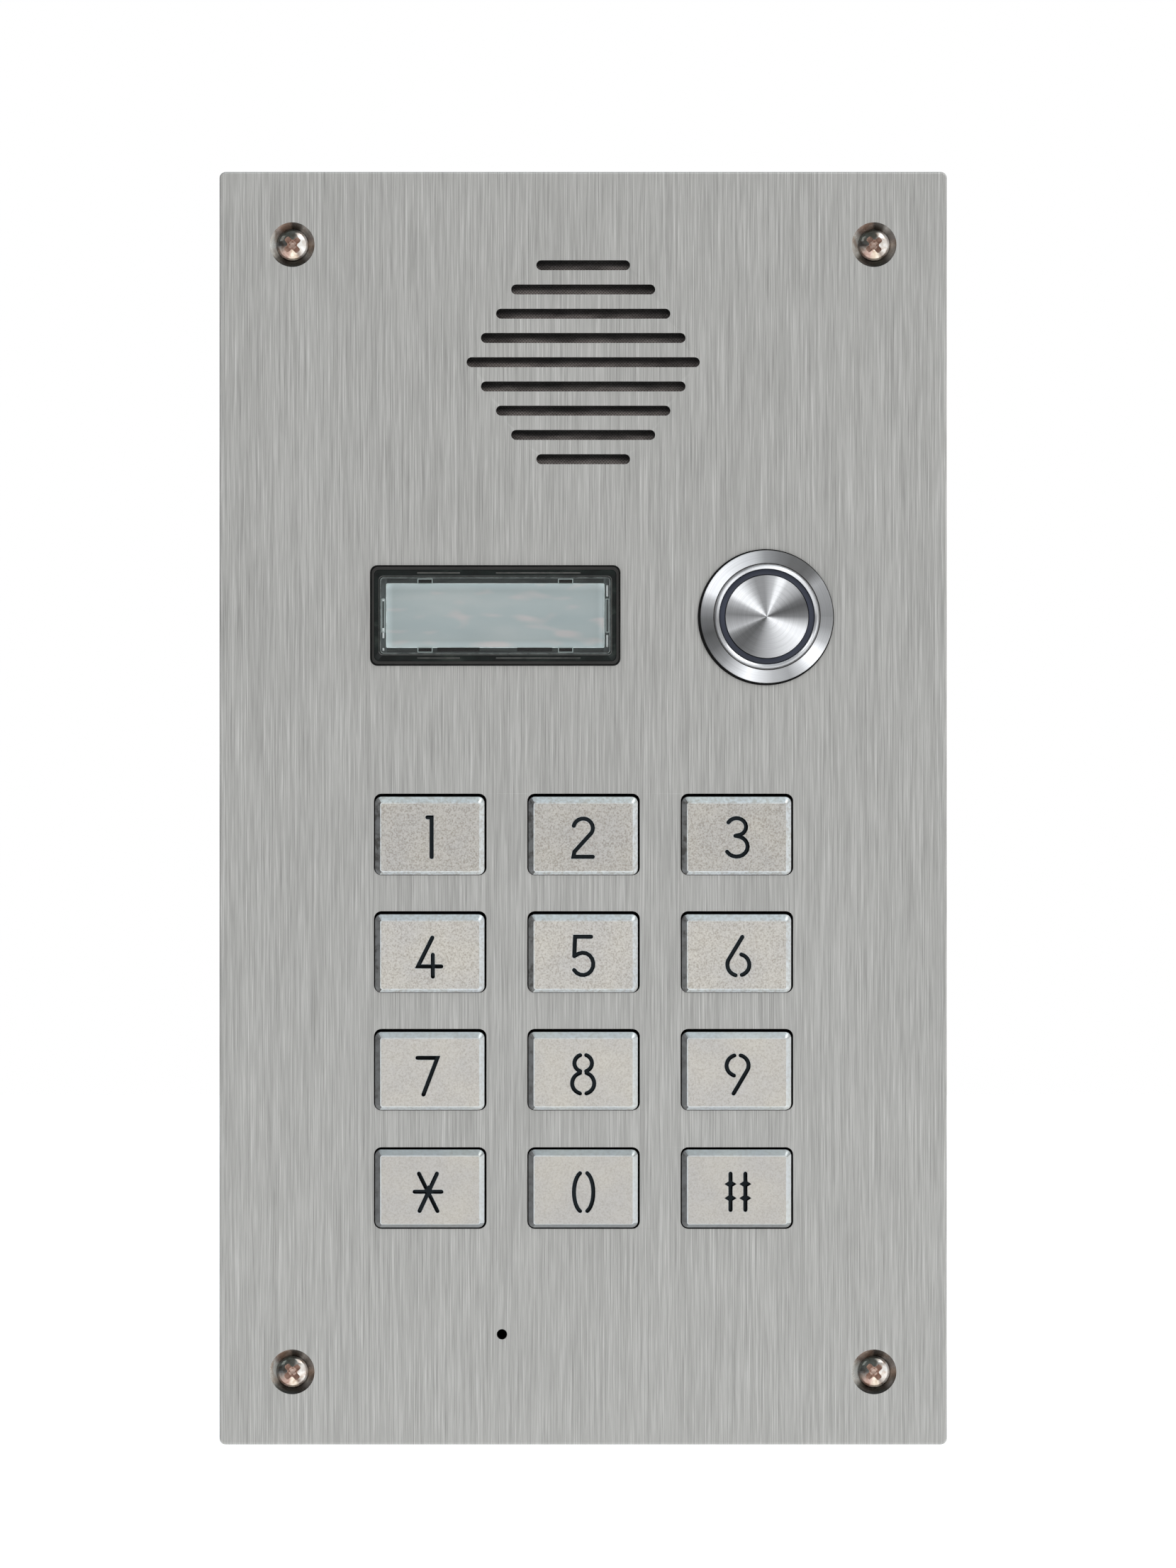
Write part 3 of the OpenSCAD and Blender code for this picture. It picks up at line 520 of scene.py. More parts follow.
def plain_metal(name, colour, roughness, grain=0.4, depth=0.004, metallic=1.0):
    """Rolled or plated metal: faint mottling and fine marks."""
    metal = Finish(name, colour, roughness, metallic)
    darker = tuple(c * 0.72 for c in colour)
    metal.colour(metal.noise(3.5, 4, 0.6), [(0.3, darker), (0.62, colour)])
    metal.gloss(metal.noise(grain, 3), roughness * 0.75, roughness * 1.35)
    metal.bump(metal.noise(grain, 2), depth)
    return metal.material


def moulded(name, colour, roughness, grain=0.35, depth=0.012, **sockets):
    """Moulded plastic with a spark-eroded grain and faint flow marks."""
    plastic = Finish(name, colour, roughness, 0.0, **sockets)
    lighter = tuple(c * 1.35 + 0.004 for c in colour)
    plastic.colour(plastic.noise(9, 3), [(0.35, colour), (0.7, lighter)])
    plastic.gloss(plastic.noise(2.2, 3), roughness * 0.85, roughness * 1.2)
    plastic.bump(plastic.cells(grain), depth)
    return plastic.material


def rubber(name, colour, roughness):
    """Dull rubber with a dusty bloom and a fine pebbled skin."""
    made = Finish(name, colour, roughness)
    bloom = tuple(c + 0.035 for c in colour)
    made.colour(made.noise((5, 7, 4), 4, 0.65), [(0.38, colour), (0.72, bloom)])
    made.gloss(made.noise(1.2, 2), roughness - 0.08, roughness + 0.08)
    made.bump(made.noise(0.25, 2), 0.02)
    return made.material


def cast_key_metal(name, colour, grain, depth, roughness, metallic, darkest, row_tones=(1, 1, 1, 1)):
    """Sand-blasted zinc. The top rows were blasted more coarsely. row_tones are from the bottom up."""
    zinc = Finish(name, colour, roughness, metallic)
    grit = zinc.noise(grain, 3, 0.6)
    up = zinc.part(zinc.plan(), "Z")
    share = zinc.span(up, 0.0, 1.0, keys["0"].y, keys["1"].y)
    row = zinc.math("SNAP", zinc.math("ADD", share, 1 / 6), 1 / 3)
    coarse = zinc.ramp(row, [(0.0, 0.4), (0.33, 0.5), (0.67, 0.85), (1.0, 1.0)])
    shaded = zinc.math("ADD", 0.5, zinc.math("MULTIPLY", zinc.math("SUBTRACT", grit, 0.5), coarse))
    warm = tuple(c * f * darkest for c, f in zip(colour, (1.0, 0.95, 0.9)))
    clean = tuple(c * 1.14 for c in colour)
    tone = zinc.ramp(shaded, [(0.36, warm), (0.52, colour), (0.68, clean)])
    patches = zinc.ramp(zinc.noise(7, 3), [(0.35, (0.93, 0.93, 0.95)), (0.7, (1, 0.985, 0.96))])
    by_row = zinc.ramp(row, [(number / 3, row_tone) for number, row_tone in enumerate(row_tones)])
    zinc.feed("Base Color", zinc.times(zinc.times(tone, patches), by_row))
    zinc.gloss(grit, roughness - 0.06, roughness + 0.1)
    zinc.bump(shaded, depth)
    return zinc.material


def spun_metal_with_painted_light(name, centre, lobes, metallic, roughness, ring_size):
    """Metal turned on a lathe, with fine rings. Its light and dark sectors are painted highlights and
    painted shade, laid into its colour round its middle.
    """
    metal = Finish(name, (0.93, 0.94, 0.96), roughness, metallic, Anisotropic=0.6, Anisotropic_Rotation=0.25)
    place = metal.plan(*centre)
    across, up = metal.part(place, "X"), metal.part(place, "Z")
    squares = [metal.math("MULTIPLY", side, side) for side in (across, up)]
    reach = metal.math("POWER", metal.math("ADD", *squares), 0.5)
    at = metal.node("ShaderNodeCombineXYZ")
    metal.put(at.inputs[0], metal.math("DIVIDE", reach, ring_size))
    turn = metal.math("ARCTAN2", up, across)
    metal.put(at.inputs[1], metal.math("MULTIPLY", metal.math("COSINE", turn), 0.8))
    rings = metal.node("ShaderNodeTexNoise", noise_dimensions="2D")
    rings.inputs["Scale"].default_value = 1.0
    rings.inputs["Detail"].default_value = 3.0
    metal.put(rings.inputs["Vector"], at.outputs[0])
    shade = metal.ramp(rings.outputs["Fac"], [(0.3, (0.88, 0.88, 0.905)), (0.7, (1.08, 1.085, 1.12))])
    # Painted highlights and painted shade: the sectors are laid into the base colour.
    metal.feed("Base Color", metal.times(metal.sectors(place, lobes), shade))
    metal.bump(rings.outputs["Fac"], 0.002)
    metal.feed("Tangent", metal.node("ShaderNodeTangent", direction_type="RADIAL", axis="Y").outputs[0])
    return metal.material


def smoked_plastic():
    """Dark bottle-green acrylic with a gloss and soft streaks."""
    smoked = Finish("smoked_plastic", (0.003, 0.006, 0.006), 0.14, 0.0, Specular_IOR_Level=0.28)
    smoked.colour(smoked.noise((6, 2.2, 3), 4, 0.6, 0.8), [
        (0.35, (0.0005, 0.0015, 0.0015)), (0.55, (0.003, 0.007, 0.006)), (0.75, (0.02, 0.026, 0.022)),
    ])
    smoked.gloss(smoked.noise(1.5, 3), 0.1, 0.22)
    smoked.bump(smoked.noise((2.5, 1, 1), 2), 0.012)
    return smoked.material


def clear_pane():
    """Clear acrylic: what lies behind it shows, and its face mirrors the sky a little."""
    clear = Finish("clear_pane", (0.8, 0.86, 0.87), 0.04)
    through = clear.node("ShaderNodeBsdfTransparent")
    through.inputs["Color"].default_value = (0.965, 0.985, 0.985, 1)
    mirror = clear.node("ShaderNodeBsdfGlossy")
    mirror.inputs["Roughness"].default_value = 0.04
    clear.put(mirror.inputs["Color"], clear.ramp(clear.noise((6, 2.5, 3), 3), [(0.3, 0.7), (0.7, 1.0)]))
    facing = clear.node("ShaderNodeLayerWeight").outputs["Facing"]  # 0 head on, and 1 edge on
    share = clear.math("ADD", clear.math("MULTIPLY", clear.math("POWER", facing, 5.0), 0.9), 0.04)
    mix = clear.node("ShaderNodeMixShader")
    for socket, output in zip(mix.inputs, (share, through.outputs[0], mirror.outputs[0])):
        clear.put(socket, output)
    clear.put(clear.tree.nodes["Material Output"].inputs["Surface"], mix.outputs[0])
    return clear.material


def misty_ledge():
    """The step round the name card: nearly black above and below it, and hazy grey at its two ends."""
    ledge = Finish("misty_ledge", (0.03, 0.04, 0.04), 0.4, 0.0, Specular_IOR_Level=0.3)
    aside = ledge.math("ABSOLUTE", ledge.part(ledge.plan(window.x), "X"))
    haze = ledge.ramp(ledge.noise((0.6, 3, 2), 3, 0.6), [
        (0.3, (0.045, 0.052, 0.052)), (0.7, (0.1, 0.115, 0.115)),
    ])
    dark = ledge.ramp(ledge.noise((5, 0.7, 2), 3, 0.6), [
        (0.35, (0.01, 0.015, 0.015)), (0.7, (0.045, 0.053, 0.051)),
    ])
    at_ends = ledge.span(aside, 0.0, 1.0, LABEL_W / 2 - 0.1, LABEL_W / 2 + 0.1)
    ledge.feed("Base Color", ledge.mix(at_ends, dark, haze))
    ledge.bump(ledge.noise(0.8, 2), 0.006)
    return ledge.material


def frosted_edge(name, colour, dimmest=0.45):
    """The cut or moulded edge of clear plastic. Its light colours are painted highlights, for the light that
    such an edge catches.
    """
    edge = Finish(name, colour, 0.35, 0.0, Coat_Weight=0.5)
    dim = tuple(c * dimmest for c in colour)
    edge.colour(edge.noise((1.4, 1.1, 1), 3, 0.6), [(0.36, dim), (0.6, colour)])
    edge.bump(edge.noise(0.4, 2), 0.01)
    return edge.material


def name_card():
    """Pale card under the pane, with painted reflections as soft clouds of light on it, and a paler rim of
    painted light against the ledge's shade.
    """
    card = Finish("name_card", (0.4, 0.42, 0.425), 0.55)
    tone = card.ramp(card.noise((15, 3.6, 4), 1, 0.4, 0.3), [
        (0.3, (0.36, 0.39, 0.4)), (0.52, (0.4, 0.42, 0.425)), (0.7, (0.44, 0.446, 0.446)),
    ])
    blush = card.ramp(card.noise((6, 1.8, 4), 1, 0.4), [(0.57, 0.0), (0.72, 0.9)])
    tone = card.mix(blush, tone, (0.52, 0.455, 0.45))
    place = card.plan(window.x, window.y)
    # Painted light: the card grows lighter towards its rim, against the shade that the ledge casts there.
    rim_w, painted_rim_light = 1.1, 1.42
    for axis, size in (("X", LABEL_W), ("Z", LABEL_H)):
        away = card.math("ABSOLUTE", card.part(place, axis))
        tone = card.times(tone, card.span(away, 1.0, painted_rim_light, size / 2 - rim_w, size / 2))
    card.feed("Base Color", tone)
    card.bump(card.noise(0.3, 3), 0.004)
    return card.material


def woven_cloth(middle):
    """Acoustic cloth: two crossing sets of threads, pale at the foot of each slot and near black above it,
    as painted shade from the slot's upper edge.
    """
    cloth = Finish("speaker_cloth", (0.07, 0.062, 0.06), 0.9, 0.0, Sheen_Weight=0.3)
    place = cloth.plan(0, middle)
    thread_pitch = 0.5
    waves = [
        cloth.math("SINE", cloth.math("MULTIPLY", cloth.part(place, axis), 2 * math.pi / thread_pitch))
        for axis in ("X", "Z")
    ]
    weave = cloth.span(cloth.math("MULTIPLY", *waves), 0.0, 1.0, -1.0, 1.0)
    fuzz = cloth.math("MULTIPLY", cloth.noise(0.3, 3), 0.4)
    height = cloth.math("ADD", weave, fuzz)
    threads = cloth.ramp(height, [(0.25, (0.3, 0.262, 0.252)), (0.95, (0.92, 0.81, 0.78))])
    patches = cloth.ramp(cloth.noise((7, 1.2, 3), 3, 0.6), [(0.35, 0.35), (0.65, 1.0)])
    rows = cloth.math("DIVIDE", cloth.part(place, "Z"), SLOT_PITCH)
    up_slot = cloth.math("FRACT", cloth.math("ADD", rows, 0.5))
    # Painted shade: pale at the foot of each slot and near black above, where the slot's upper edge shades
    # the cloth.
    slot_painted_shade = cloth.ramp(up_slot, [(0.32, 1.0), (0.43, 0.62), (0.52, 0.16), (0.6, 0.04)])
    cloth.feed("Base Color", cloth.times(cloth.times(threads, patches), slot_painted_shade))
    cloth.bump(height, 0.08)
    return cloth.material


def circuit_board():
    """Green solder mask over copper tracks, with tinned pads."""
    board = Finish("circuit_board", (0.01, 0.1, 0.045), 0.3, 0.0, Coat_Weight=0.4)
    tracks = board.node("ShaderNodeTexBrick")
    for socket, value in (
        ("Scale", 1.0), ("Color1", (0.006, 0.085, 0.035)), ("Color2", (0.012, 0.12, 0.05)),
        ("Mortar", (0.02, 0.19, 0.085)), ("Mortar Size", 0.22), ("Brick Width", 6.5), ("Row Height", 1.7),
    ):
        board.put(tracks.inputs[socket], value)
    turned = board.node("ShaderNodeMapping")
    turned.inputs["Rotation"].default_value = (math.pi / 2, 0, 0)
    board.put(turned.inputs["Vector"], board.plan())
    board.put(tracks.inputs["Vector"], turned.outputs["Vector"])
    pads = board.span(board.cells(3.1), 1.0, 0.0, 0.13, 0.17)
    board.feed("Base Color", board.mix(pads, tracks.outputs["Color"], (0.62, 0.62, 0.6)))
    board.feed("Metallic", pads)
    board.bump(tracks.outputs["Fac"], 0.03)
    return board.material


def glued_paper():
    """Pressed cone paper."""
    paper = Finish("cone_paper", (0.02, 0.02, 0.021), 0.85, 0.0, Sheen_Weight=0.2)
    fibres = paper.noise((0.5, 0.8, 0.5), 5, 0.7, 1.0)
    paper.colour(fibres, [(0.35, (0.012, 0.012, 0.013)), (0.7, (0.05, 0.048, 0.046))])
    paper.bump(fibres, 0.05)
    return paper.material


# ---- Sizes that the frame's boxes don't hold ----

SLOT_PITCH = 4.0
SLOT_H = 1.6
SLOT_LENGTHS = [38.4, 33.7, 28.7, 23.7, 15.4]  # from the middle slot outwards
DISH_R = 3.65
SCREW_HOLE_R = 1.7
SCREW_HEAD_R = 2.6
SCREW_DOME = 1.0
M3_R = 1.5
SCREW_TURN = 41  # degrees that each cross recess is turned
MIC_HOLE_R = 0.83
WINDOW_LAP = 0.5  # how far the window's surround laps over the faceplate on each side
FLANGE_RIM = 1.2
FLANGE_T = 1.0
KEY_GAP = 0.2
KEY_HANG_X = 0.07  # keys rest a little left of and below the middle of their holes
KEY_HANG_Y = [0.19, 0.19, 0.17, 0.04]  # for each row, from the top
KEY_SLACK = 0.03
KEY_SLACK_ABOVE = 0.07
KEY_RISE = 0.25  # how far the foot of the slopes stands off the faceplate
KEY_CORNER_R = 1.0
KEY_WALL = 1.2
KEY_POCKET = 1.25  # how far the hollow in a key's back keeps from its sides
SLOPE_ABOVE, SLOPE_BELOW = 0.95, 0.5
SLOPE_LEFT, SLOPE_RIGHT = 0.84, 0.72
STROKE_W = 0.66
GLYPH_DROP = 0.35
HASH_BARS = (-1.0, 1.45)
LABEL_W = 35.8
LABEL_H = 10.4
BARREL_R = 9.4
BARREL_GAP = 0.2
NUT_FLATS = 22
BOX_WALL = 2.0
BOX_HOLES = (70, 150)  # apart, across and up

# Painted highlights and painted shade on the turned metal: light and dark sectors, from (degrees from the
# right, brightness)
BEZEL_PAINTED_LIGHT = [
    (0, 0.2), (24, 0.27), (33, 0.3), (43, 0.08), (52, 0.03), (66, 0.04), (78, 0.12), (92, 0.28), (102, 0.55),
    (118, 0.8), (134, 1.0), (157, 1.0), (163, 0.6), (172, 0.3), (183, 0.14), (196, 0.06), (211, 0.1),
    (226, 0.26), (241, 0.62), (252, 1.0), (262, 0.72), (276, 0.42), (291, 0.3), (304, 0.55), (313, 0.95),
    (325, 1.0), (336, 0.45), (350, 0.25), (360, 0.22),
]
LIP_PAINTED_LIGHT = [
    (0, 0.55), (40, 0.65), (75, 0.95), (92, 0.8), (115, 0.55), (135, 0.75), (160, 0.7), (185, 0.32),
    (205, 0.4), (235, 0.85), (262, 0.62), (290, 0.5), (318, 0.7), (340, 0.8), (360, 0.55),
]
DISC_PAINTED_LIGHT = [
    (0, 0.2), (10, 0.12), (18, 0.09), (27, 0.14), (37, 0.32), (48, 0.48), (58, 0.58), (65, 0.95), (72, 0.93),
    (79, 0.52), (95, 0.27), (108, 0.28), (118, 0.48), (127, 0.78), (135, 1.0), (147, 1.0), (155, 0.5),
    (166, 0.28), (176, 0.2), (186, 0.32), (200, 0.48), (207, 0.22), (216, 0.11), (229, 0.1), (246, 0.17),
    (262, 0.34), (280, 0.5), (297, 0.68), (314, 0.85), (326, 1.0), (339, 0.95), (360, 0.2),
]

# Colours round each screw, on its dish and on its head: painted reflections, light and shade
DISH_PAINTED_LIGHT = [
    (0, (0.3, 0.25, 0.21)), (18, (0.14, 0.12, 0.11)), (36, (0.1, 0.09, 0.08)), (54, (0.28, 0.26, 0.24)),
    (64, (0.08, 0.07, 0.06)), (88, (0.05, 0.042, 0.036)), (97, (0.22, 0.17, 0.14)), (122, (0.3, 0.22, 0.18)),
    (140, (0.26, 0.22, 0.2)), (155, (0.5, 0.49, 0.46)), (180, (0.65, 0.65, 0.62)), (205, (0.55, 0.55, 0.52)),
    (222, (0.08, 0.08, 0.07)), (243, (0.012, 0.012, 0.01)), (285, (0.012, 0.012, 0.01)),
    (306, (0.05, 0.045, 0.04)), (326, (0.15, 0.14, 0.13)), (345, (0.2, 0.18, 0.16)),
    (360, (0.3, 0.25, 0.21)),
]
HEAD_PAINTED_LIGHT = [
    (0, (0.95, 0.93, 0.9)), (32, (0.95, 0.93, 0.9)), (54, (0.4, 0.38, 0.36)), (78, (0.1, 0.1, 0.09)),
    (110, (0.08, 0.09, 0.08)), (150, (0.12, 0.13, 0.12)), (182, (0.1, 0.1, 0.1)), (205, (0.3, 0.25, 0.22)),
    (225, (0.5, 0.35, 0.3)), (250, (0.6, 0.42, 0.36)), (268, (0.95, 0.85, 0.72)), (288, (0.95, 0.85, 0.72)),
    (304, (0.35, 0.3, 0.27)), (324, (0.7, 0.66, 0.62)), (340, (0.95, 0.93, 0.9)), (360, (0.95, 0.93, 0.9)),
]

plate = Plan("faceplate")
heads = Plan("corner_screws")
SCREW_SPAN = (heads.w - 2 * SCREW_HEAD_R, heads.h - 2 * SCREW_HEAD_R)
window = Plan("window_frame")
pane = Plan("window_lens")
card = Plan("label_card")
bezel = Plan("button_body")
keys = {name: Plan(f"key_{name}_cap") for name in KEY_NAMES}

brushed = brushed_steel()
dark_edge = cut_edge_painted_shade()
dish_metal = chrome_with_painted_reflections("dish_metal", DISH_PAINTED_LIGHT, 0.5, 0.22, 2.5)
chrome = chrome_with_painted_reflections("screw_chrome", HEAD_PAINTED_LIGHT, 0.6, 0.12, 1.2)
recess_metal = plain_metal("recess_metal", (0.6, 0.44, 0.37), 0.2, 0.6, 0.02, 0.6)
bright_metal = plain_metal("bright_metal", (0.72, 0.72, 0.7), 0.26)


# ---- Faceplate and screws ----


def plate_openings():
    """Every straight-sided opening in the faceplate."""
    grille = Plan("speaker_cloth")
    boot = Plan("mic_boot")
    rows = range(1 - len(SLOT_LENGTHS), len(SLOT_LENGTHS))
    openings = [
        rect(grille.x, grille.y + row * SLOT_PITCH, SLOT_LENGTHS[abs(row)], SLOT_H, SLOT_H / 2 - 0.01, 10)
        for row in rows
    ]
    openings.append(rect(window.x, window.y, window.w - 2 * WINDOW_LAP, window.h - 2 * WINDOW_LAP, 1))
    openings.append(disc(bezel.x, bezel.y, BARREL_R + BARREL_GAP))
    grow = 2 * (KEY_GAP - FLANGE_RIM)
    for number, cap in enumerate(keys.values()):
        x, y = cap.x + KEY_HANG_X, cap.y + KEY_HANG_Y[number // KEYS_ACROSS]
        openings.append(rect(x, y, cap.w + grow, cap.h + grow, KEY_CORNER_R + KEY_GAP))
    openings.append(disc(boot.x, boot.y, MIC_HOLE_R, 32))
    return openings


def screw_places():
    return [(heads.x + side * SCREW_SPAN[0] / 2, heads.y + end * SCREW_SPAN[1] / 2) for side, end in CORNERS]


def faceplate():
    steel, dish, edge = range(3)
    shape = Shape()
    fronts, backs = [], []

    def add(outline, profile, rim_finish, finish):
        """A round of wall, whose first band joins on to the front face."""
        rings = shape.rings(outline, profile)
        shape.wall(rings[:2], rim_finish)
        shape.wall(rings[1:], finish)
        fronts.append(rings[0])
        backs.append(rings[-1])

    outer_round, hole_round = 0.3, 0.06
    outside = edge_profile(plate.front, plate.back, outer_round, -1)
    inside = edge_profile(plate.front, plate.back, hole_round, 1)
    slope = DISH_R - SCREW_HOLE_R
    dished = soften([
        (slope + 0.04, plate.front), (slope, plate.front - 0.03), (0, plate.front - slope), (0, plate.back),
    ], 0.1)
    add(rect(plate.x, plate.y, plate.w, plate.h, 1.0), outside, steel, steel)
    for outline in plate_openings():
        # The openings' walls take the near-black edge finish: painted shade.
        add(outline, inside, steel, edge)
    for x, y in screw_places():
        add(disc(x, y, SCREW_HOLE_R, 64), dished, dish, dish)
    shape.lid(fronts[0], fronts[1:])
    shape.lid(backs[0], backs[1:])
    piece("steel_faceplate", shape, [brushed, dish_metal, dark_edge], "faceplate")


def cross_recess(x, y, top):
    """The two tapered arms and the round middle of a cross-head screw's recess."""
    recess = 1
    # Each arm's length, width and height above the top of the head
    sections = [(1.4, 0.45, -1.4), (2.2, 0.66, -0.85), (3.05, 0.95, -0.2), (3.5, 1.08, 0.4)]
    shapes = []
    for quarter in (0, 90):
        angle = math.radians(SCREW_TURN + quarter)
        cos, sin = math.cos(angle), math.sin(angle)
        shape = Shape()
        rings = []
        for length, width, level in sections:
            arm = rounded_rect(0, 0, length, width, width * 0.3, 3)
            turned = [(x + px * cos - py * sin, y + px * sin + py * cos) for px, py in arm]
            rings.append(shape.ring(turned, top + level))
        shape.wall(rings, recess)
        shape.ends(rings, recess)
        shapes.append(shape)
    middle = Shape()
    middle.turned(x, y, [(0, top - 1.6), (0.4, top - 1.5), (0.95, top + 0.3), (0, top + 0.3)], 16, recess)
    return [*shapes, middle]


def corner_screws():
    """Oval countersunk screws, each with its thread joined to its head."""
    top = heads.front
    edge = top - SCREW_DOME
    dome = arc(0, edge, SCREW_HEAD_R, SCREW_DOME, 90, 4, 9)
    dome[0] = (0, top)
    neck = edge - 1.25
    under = [(SCREW_HEAD_R, edge), (SCREW_HEAD_R - 0.03, edge - 0.07), (M3_R - 0.2, neck), (0, neck)]
    for (side, end), (x, y) in zip(CORNERS, screw_places()):
        head = Shape()
        head.turned(x, y, dome + under, 48)
        name = f"corner_screw_{'left' if side < 0 else 'right'}_{'low' if end < 0 else 'high'}"
        made = mesh_object(name, head, [chrome, recess_metal])
        cut(made, cross_recess(x, y, top))
        rod = Shape()
        rings = rod.thread(x, y, M3_R, heads.back, edge - 1.0, pitch=0.5, depth=0.27, steps=24)
        rod.wall(rings)
        rod.ends(rings)
        cut(made, [rod], "UNION")
        finish_piece(made, "panel", "corner_screws")


# ---- Digits ----

# The numbers of a key's finishes
FACE, SLOPE, SKIRT, LEFT_SLOPE, TOP_SLOPE, LOWER_SLOPE = range(6)


def unit(x, y):
    length = math.hypot(x, y)
    return x / length, y / length


def stroke(path, width):
    """The outline of a path drawn with a round-ended stroke."""
    half = width / 2
    ways = [unit(b[0] - a[0], b[1] - a[1]) for a, b in zip(path, path[1:])]
    left, right = [], []
    for (px, py), before, after in zip(path[1:-1], ways, ways[1:]):
        middle = unit(-before[1] - after[1], before[0] + after[0])
        reach = half / (middle[1] * after[0] - middle[0] * after[1])
        left.append((px + middle[0] * reach, py + middle[1] * reach))
        right.append((px - middle[0] * reach, py - middle[1] * reach))
    first_turn, last_turn = (math.degrees(math.atan2(way[1], way[0])) for way in (ways[0], ways[-1]))
    last_cap = arc(*path[-1], half, half, last_turn + 90, last_turn - 90, 6)
    first_cap = arc(*path[0], half, half, first_turn - 90, first_turn - 270, 6)
    return left + last_cap + right[::-1] + first_cap


def glyph_paths():
    """The strokes of each digit, about the middle of its key."""
    eight_half = [arc(0, 1.62, 1.45, 1.4, 110, 250), arc(0, -1.7, 1.82, 1.76, 107, 253)]
    return {
        "1": [[(-0.4, 3.35), (0.3, 3.35), (0.3, -3.2)]],
        "2": [arc(0, 1.6, 1.6, 1.55, 167, -32) + [(-1.45, -2.3), (-1.62, -3.15), (1.6, -3.15)]],
        "3": [
            arc(0, 1.8, 1.57, 1.42, 150, -68) + [(-0.2, 0.3)],
            [(-0.2, 0.3)] + arc(0, -1.45, 1.83, 1.68, 74, -149),
        ],
        "4": [[(0.42, 2.93), (-1.95, -1.83), (1.9, -1.83)], [(0.5, 0.1), (0.5, -3.52)]],
        "5": [
            [(1.3, 3.07), (-1.34, 3.07), (-1.47, -0.15)],
            [(-1.47, -0.15)] + arc(-0.05, -1.42, 1.72, 1.85, 115, -147),
        ],
        "6": [[(0.95, 3.05)] + arc(0.3, -1.5, 1.82, 1.85, 160, 255), arc(0.3, -1.56, 1.8, 1.76, 75, -72)],
        "7": [[(-2.03, 2.48), (1.25, 2.48), (-1.05, -3.57)]],
        "8": eight_half + [[(-x, y) for x, y in path] for path in eight_half],
        "9": [arc(0.2, 1.22, 1.85, 1.75, 108, 250), arc(0.22, 1.26, 1.76, 1.68, 75, -30) + [(-0.5, -3.4)]],
        "star": [[(-1.78, 2.8), (1.26, -3.37)], [(1.18, 2.8), (-1.69, -3.37)], [(-2.5, -0.2), (1.93, -0.2)]],
        "0": [arc(0, -0.25, 1.52, 3.32, 110, 250), arc(0.15, -0.25, 1.52, 3.32, 70, -70)],
        "hash": [[(x, 2.8), (x, -3.2)] for x in HASH_BARS],
    }


def glyph_diamonds(name):
    """Diamonds where strokes cross: (x, y, half width, half height)."""
    if name == "star":
        return [(-0.2, -0.11, 0.8, 1.0)]
    if name == "hash":
        return [(x, y, 0.98, 0.64) for x in HASH_BARS for y in (-1.25, 1.08)]
    return []


def diamond(x, y, half_w, half_h, grow):
    w, h = half_w + grow, half_h + grow
    return [(x + w, y), (x, y + h), (x - w, y), (x, y - h)]


def digit_cutters(name, cap):
    """Solids that cut a digit through a key, with walls in the near-black skirt metal, which is painted
    shade, and a small bright flare at its face.
    """
    middle_y = cap.y - GLYPH_DROP
    outlines = []
    for path in glyph_paths()[name]:
        placed = [(cap.x + x, middle_y + y) for x, y in path]
        outlines.append(lambda grow, placed=placed: stroke(placed, STROKE_W + 2 * grow))
    for x, y, half_w, half_h in glyph_diamonds(name):
        place = (cap.x + x, middle_y + y, half_w, half_h)
        outlines.append(lambda grow, place=place: diamond(*place, grow))
    through, flare_depth, flare_rise, flare_w = 0.4, 0.05, 0.09, 0.14
    profile = [
        (0, cap.front - KEY_WALL - through), (0, cap.front - flare_depth), (flare_w, cap.front + flare_rise),
    ]
    shapes = []
    for outline in outlines:
        shape = Shape()
        low, edge, top = shape.rings(outline, profile)
        shape.join(low, edge, SKIRT)
        shape.join(edge, top, SLOPE)
        shape.lid(low, finish=SKIRT)
        shape.lid(top, finish=SLOPE)
        shapes.append(shape)
    return shapes


# ---- Keys ----


def key_materials():
    """The finishes of a key, in the order of their numbers."""
    zinc = ((0.66, 0.69, 0.7), 0.5, 0.004, 0.34, 0.8, 0.84)  # the bare metal of the slopes
    return [
        cast_key_metal(
            "blasted_zinc", (0.575, 0.553, 0.52), 0.26, 0.045, 0.5, 0.55, 0.7, (0.97, 1, 1, 0.88),
        ),
        cast_key_metal("cast_zinc", *zinc),
        # Painted shade: near-black metal for the skirt and flange behind the faceplate and for the digits'
        # walls, so that the gaps read dark.
        plain_metal("skirt_metal_painted_shade", (0.012, 0.012, 0.012), 0.6),
        # Painted shade: darker copies of the slope metal for the left, top and lower slopes; the top and
        # lower ones darker again on the bottom rows.
        cast_key_metal("left_slope_painted_shade", (0.18, 0.183, 0.185), 1.1, 0.01, 0.4, 0.6, 0.5),
        cast_key_metal("top_slope_painted_shade", (0.52, 0.56, 0.57), 0.5, 0.004, 0.34, 0.8, 0.88, (0.72, 0.92, 1, 1)),
        cast_key_metal("lower_slope_painted_shade", *zinc, (0.5, 1, 1, 1)),
    ]


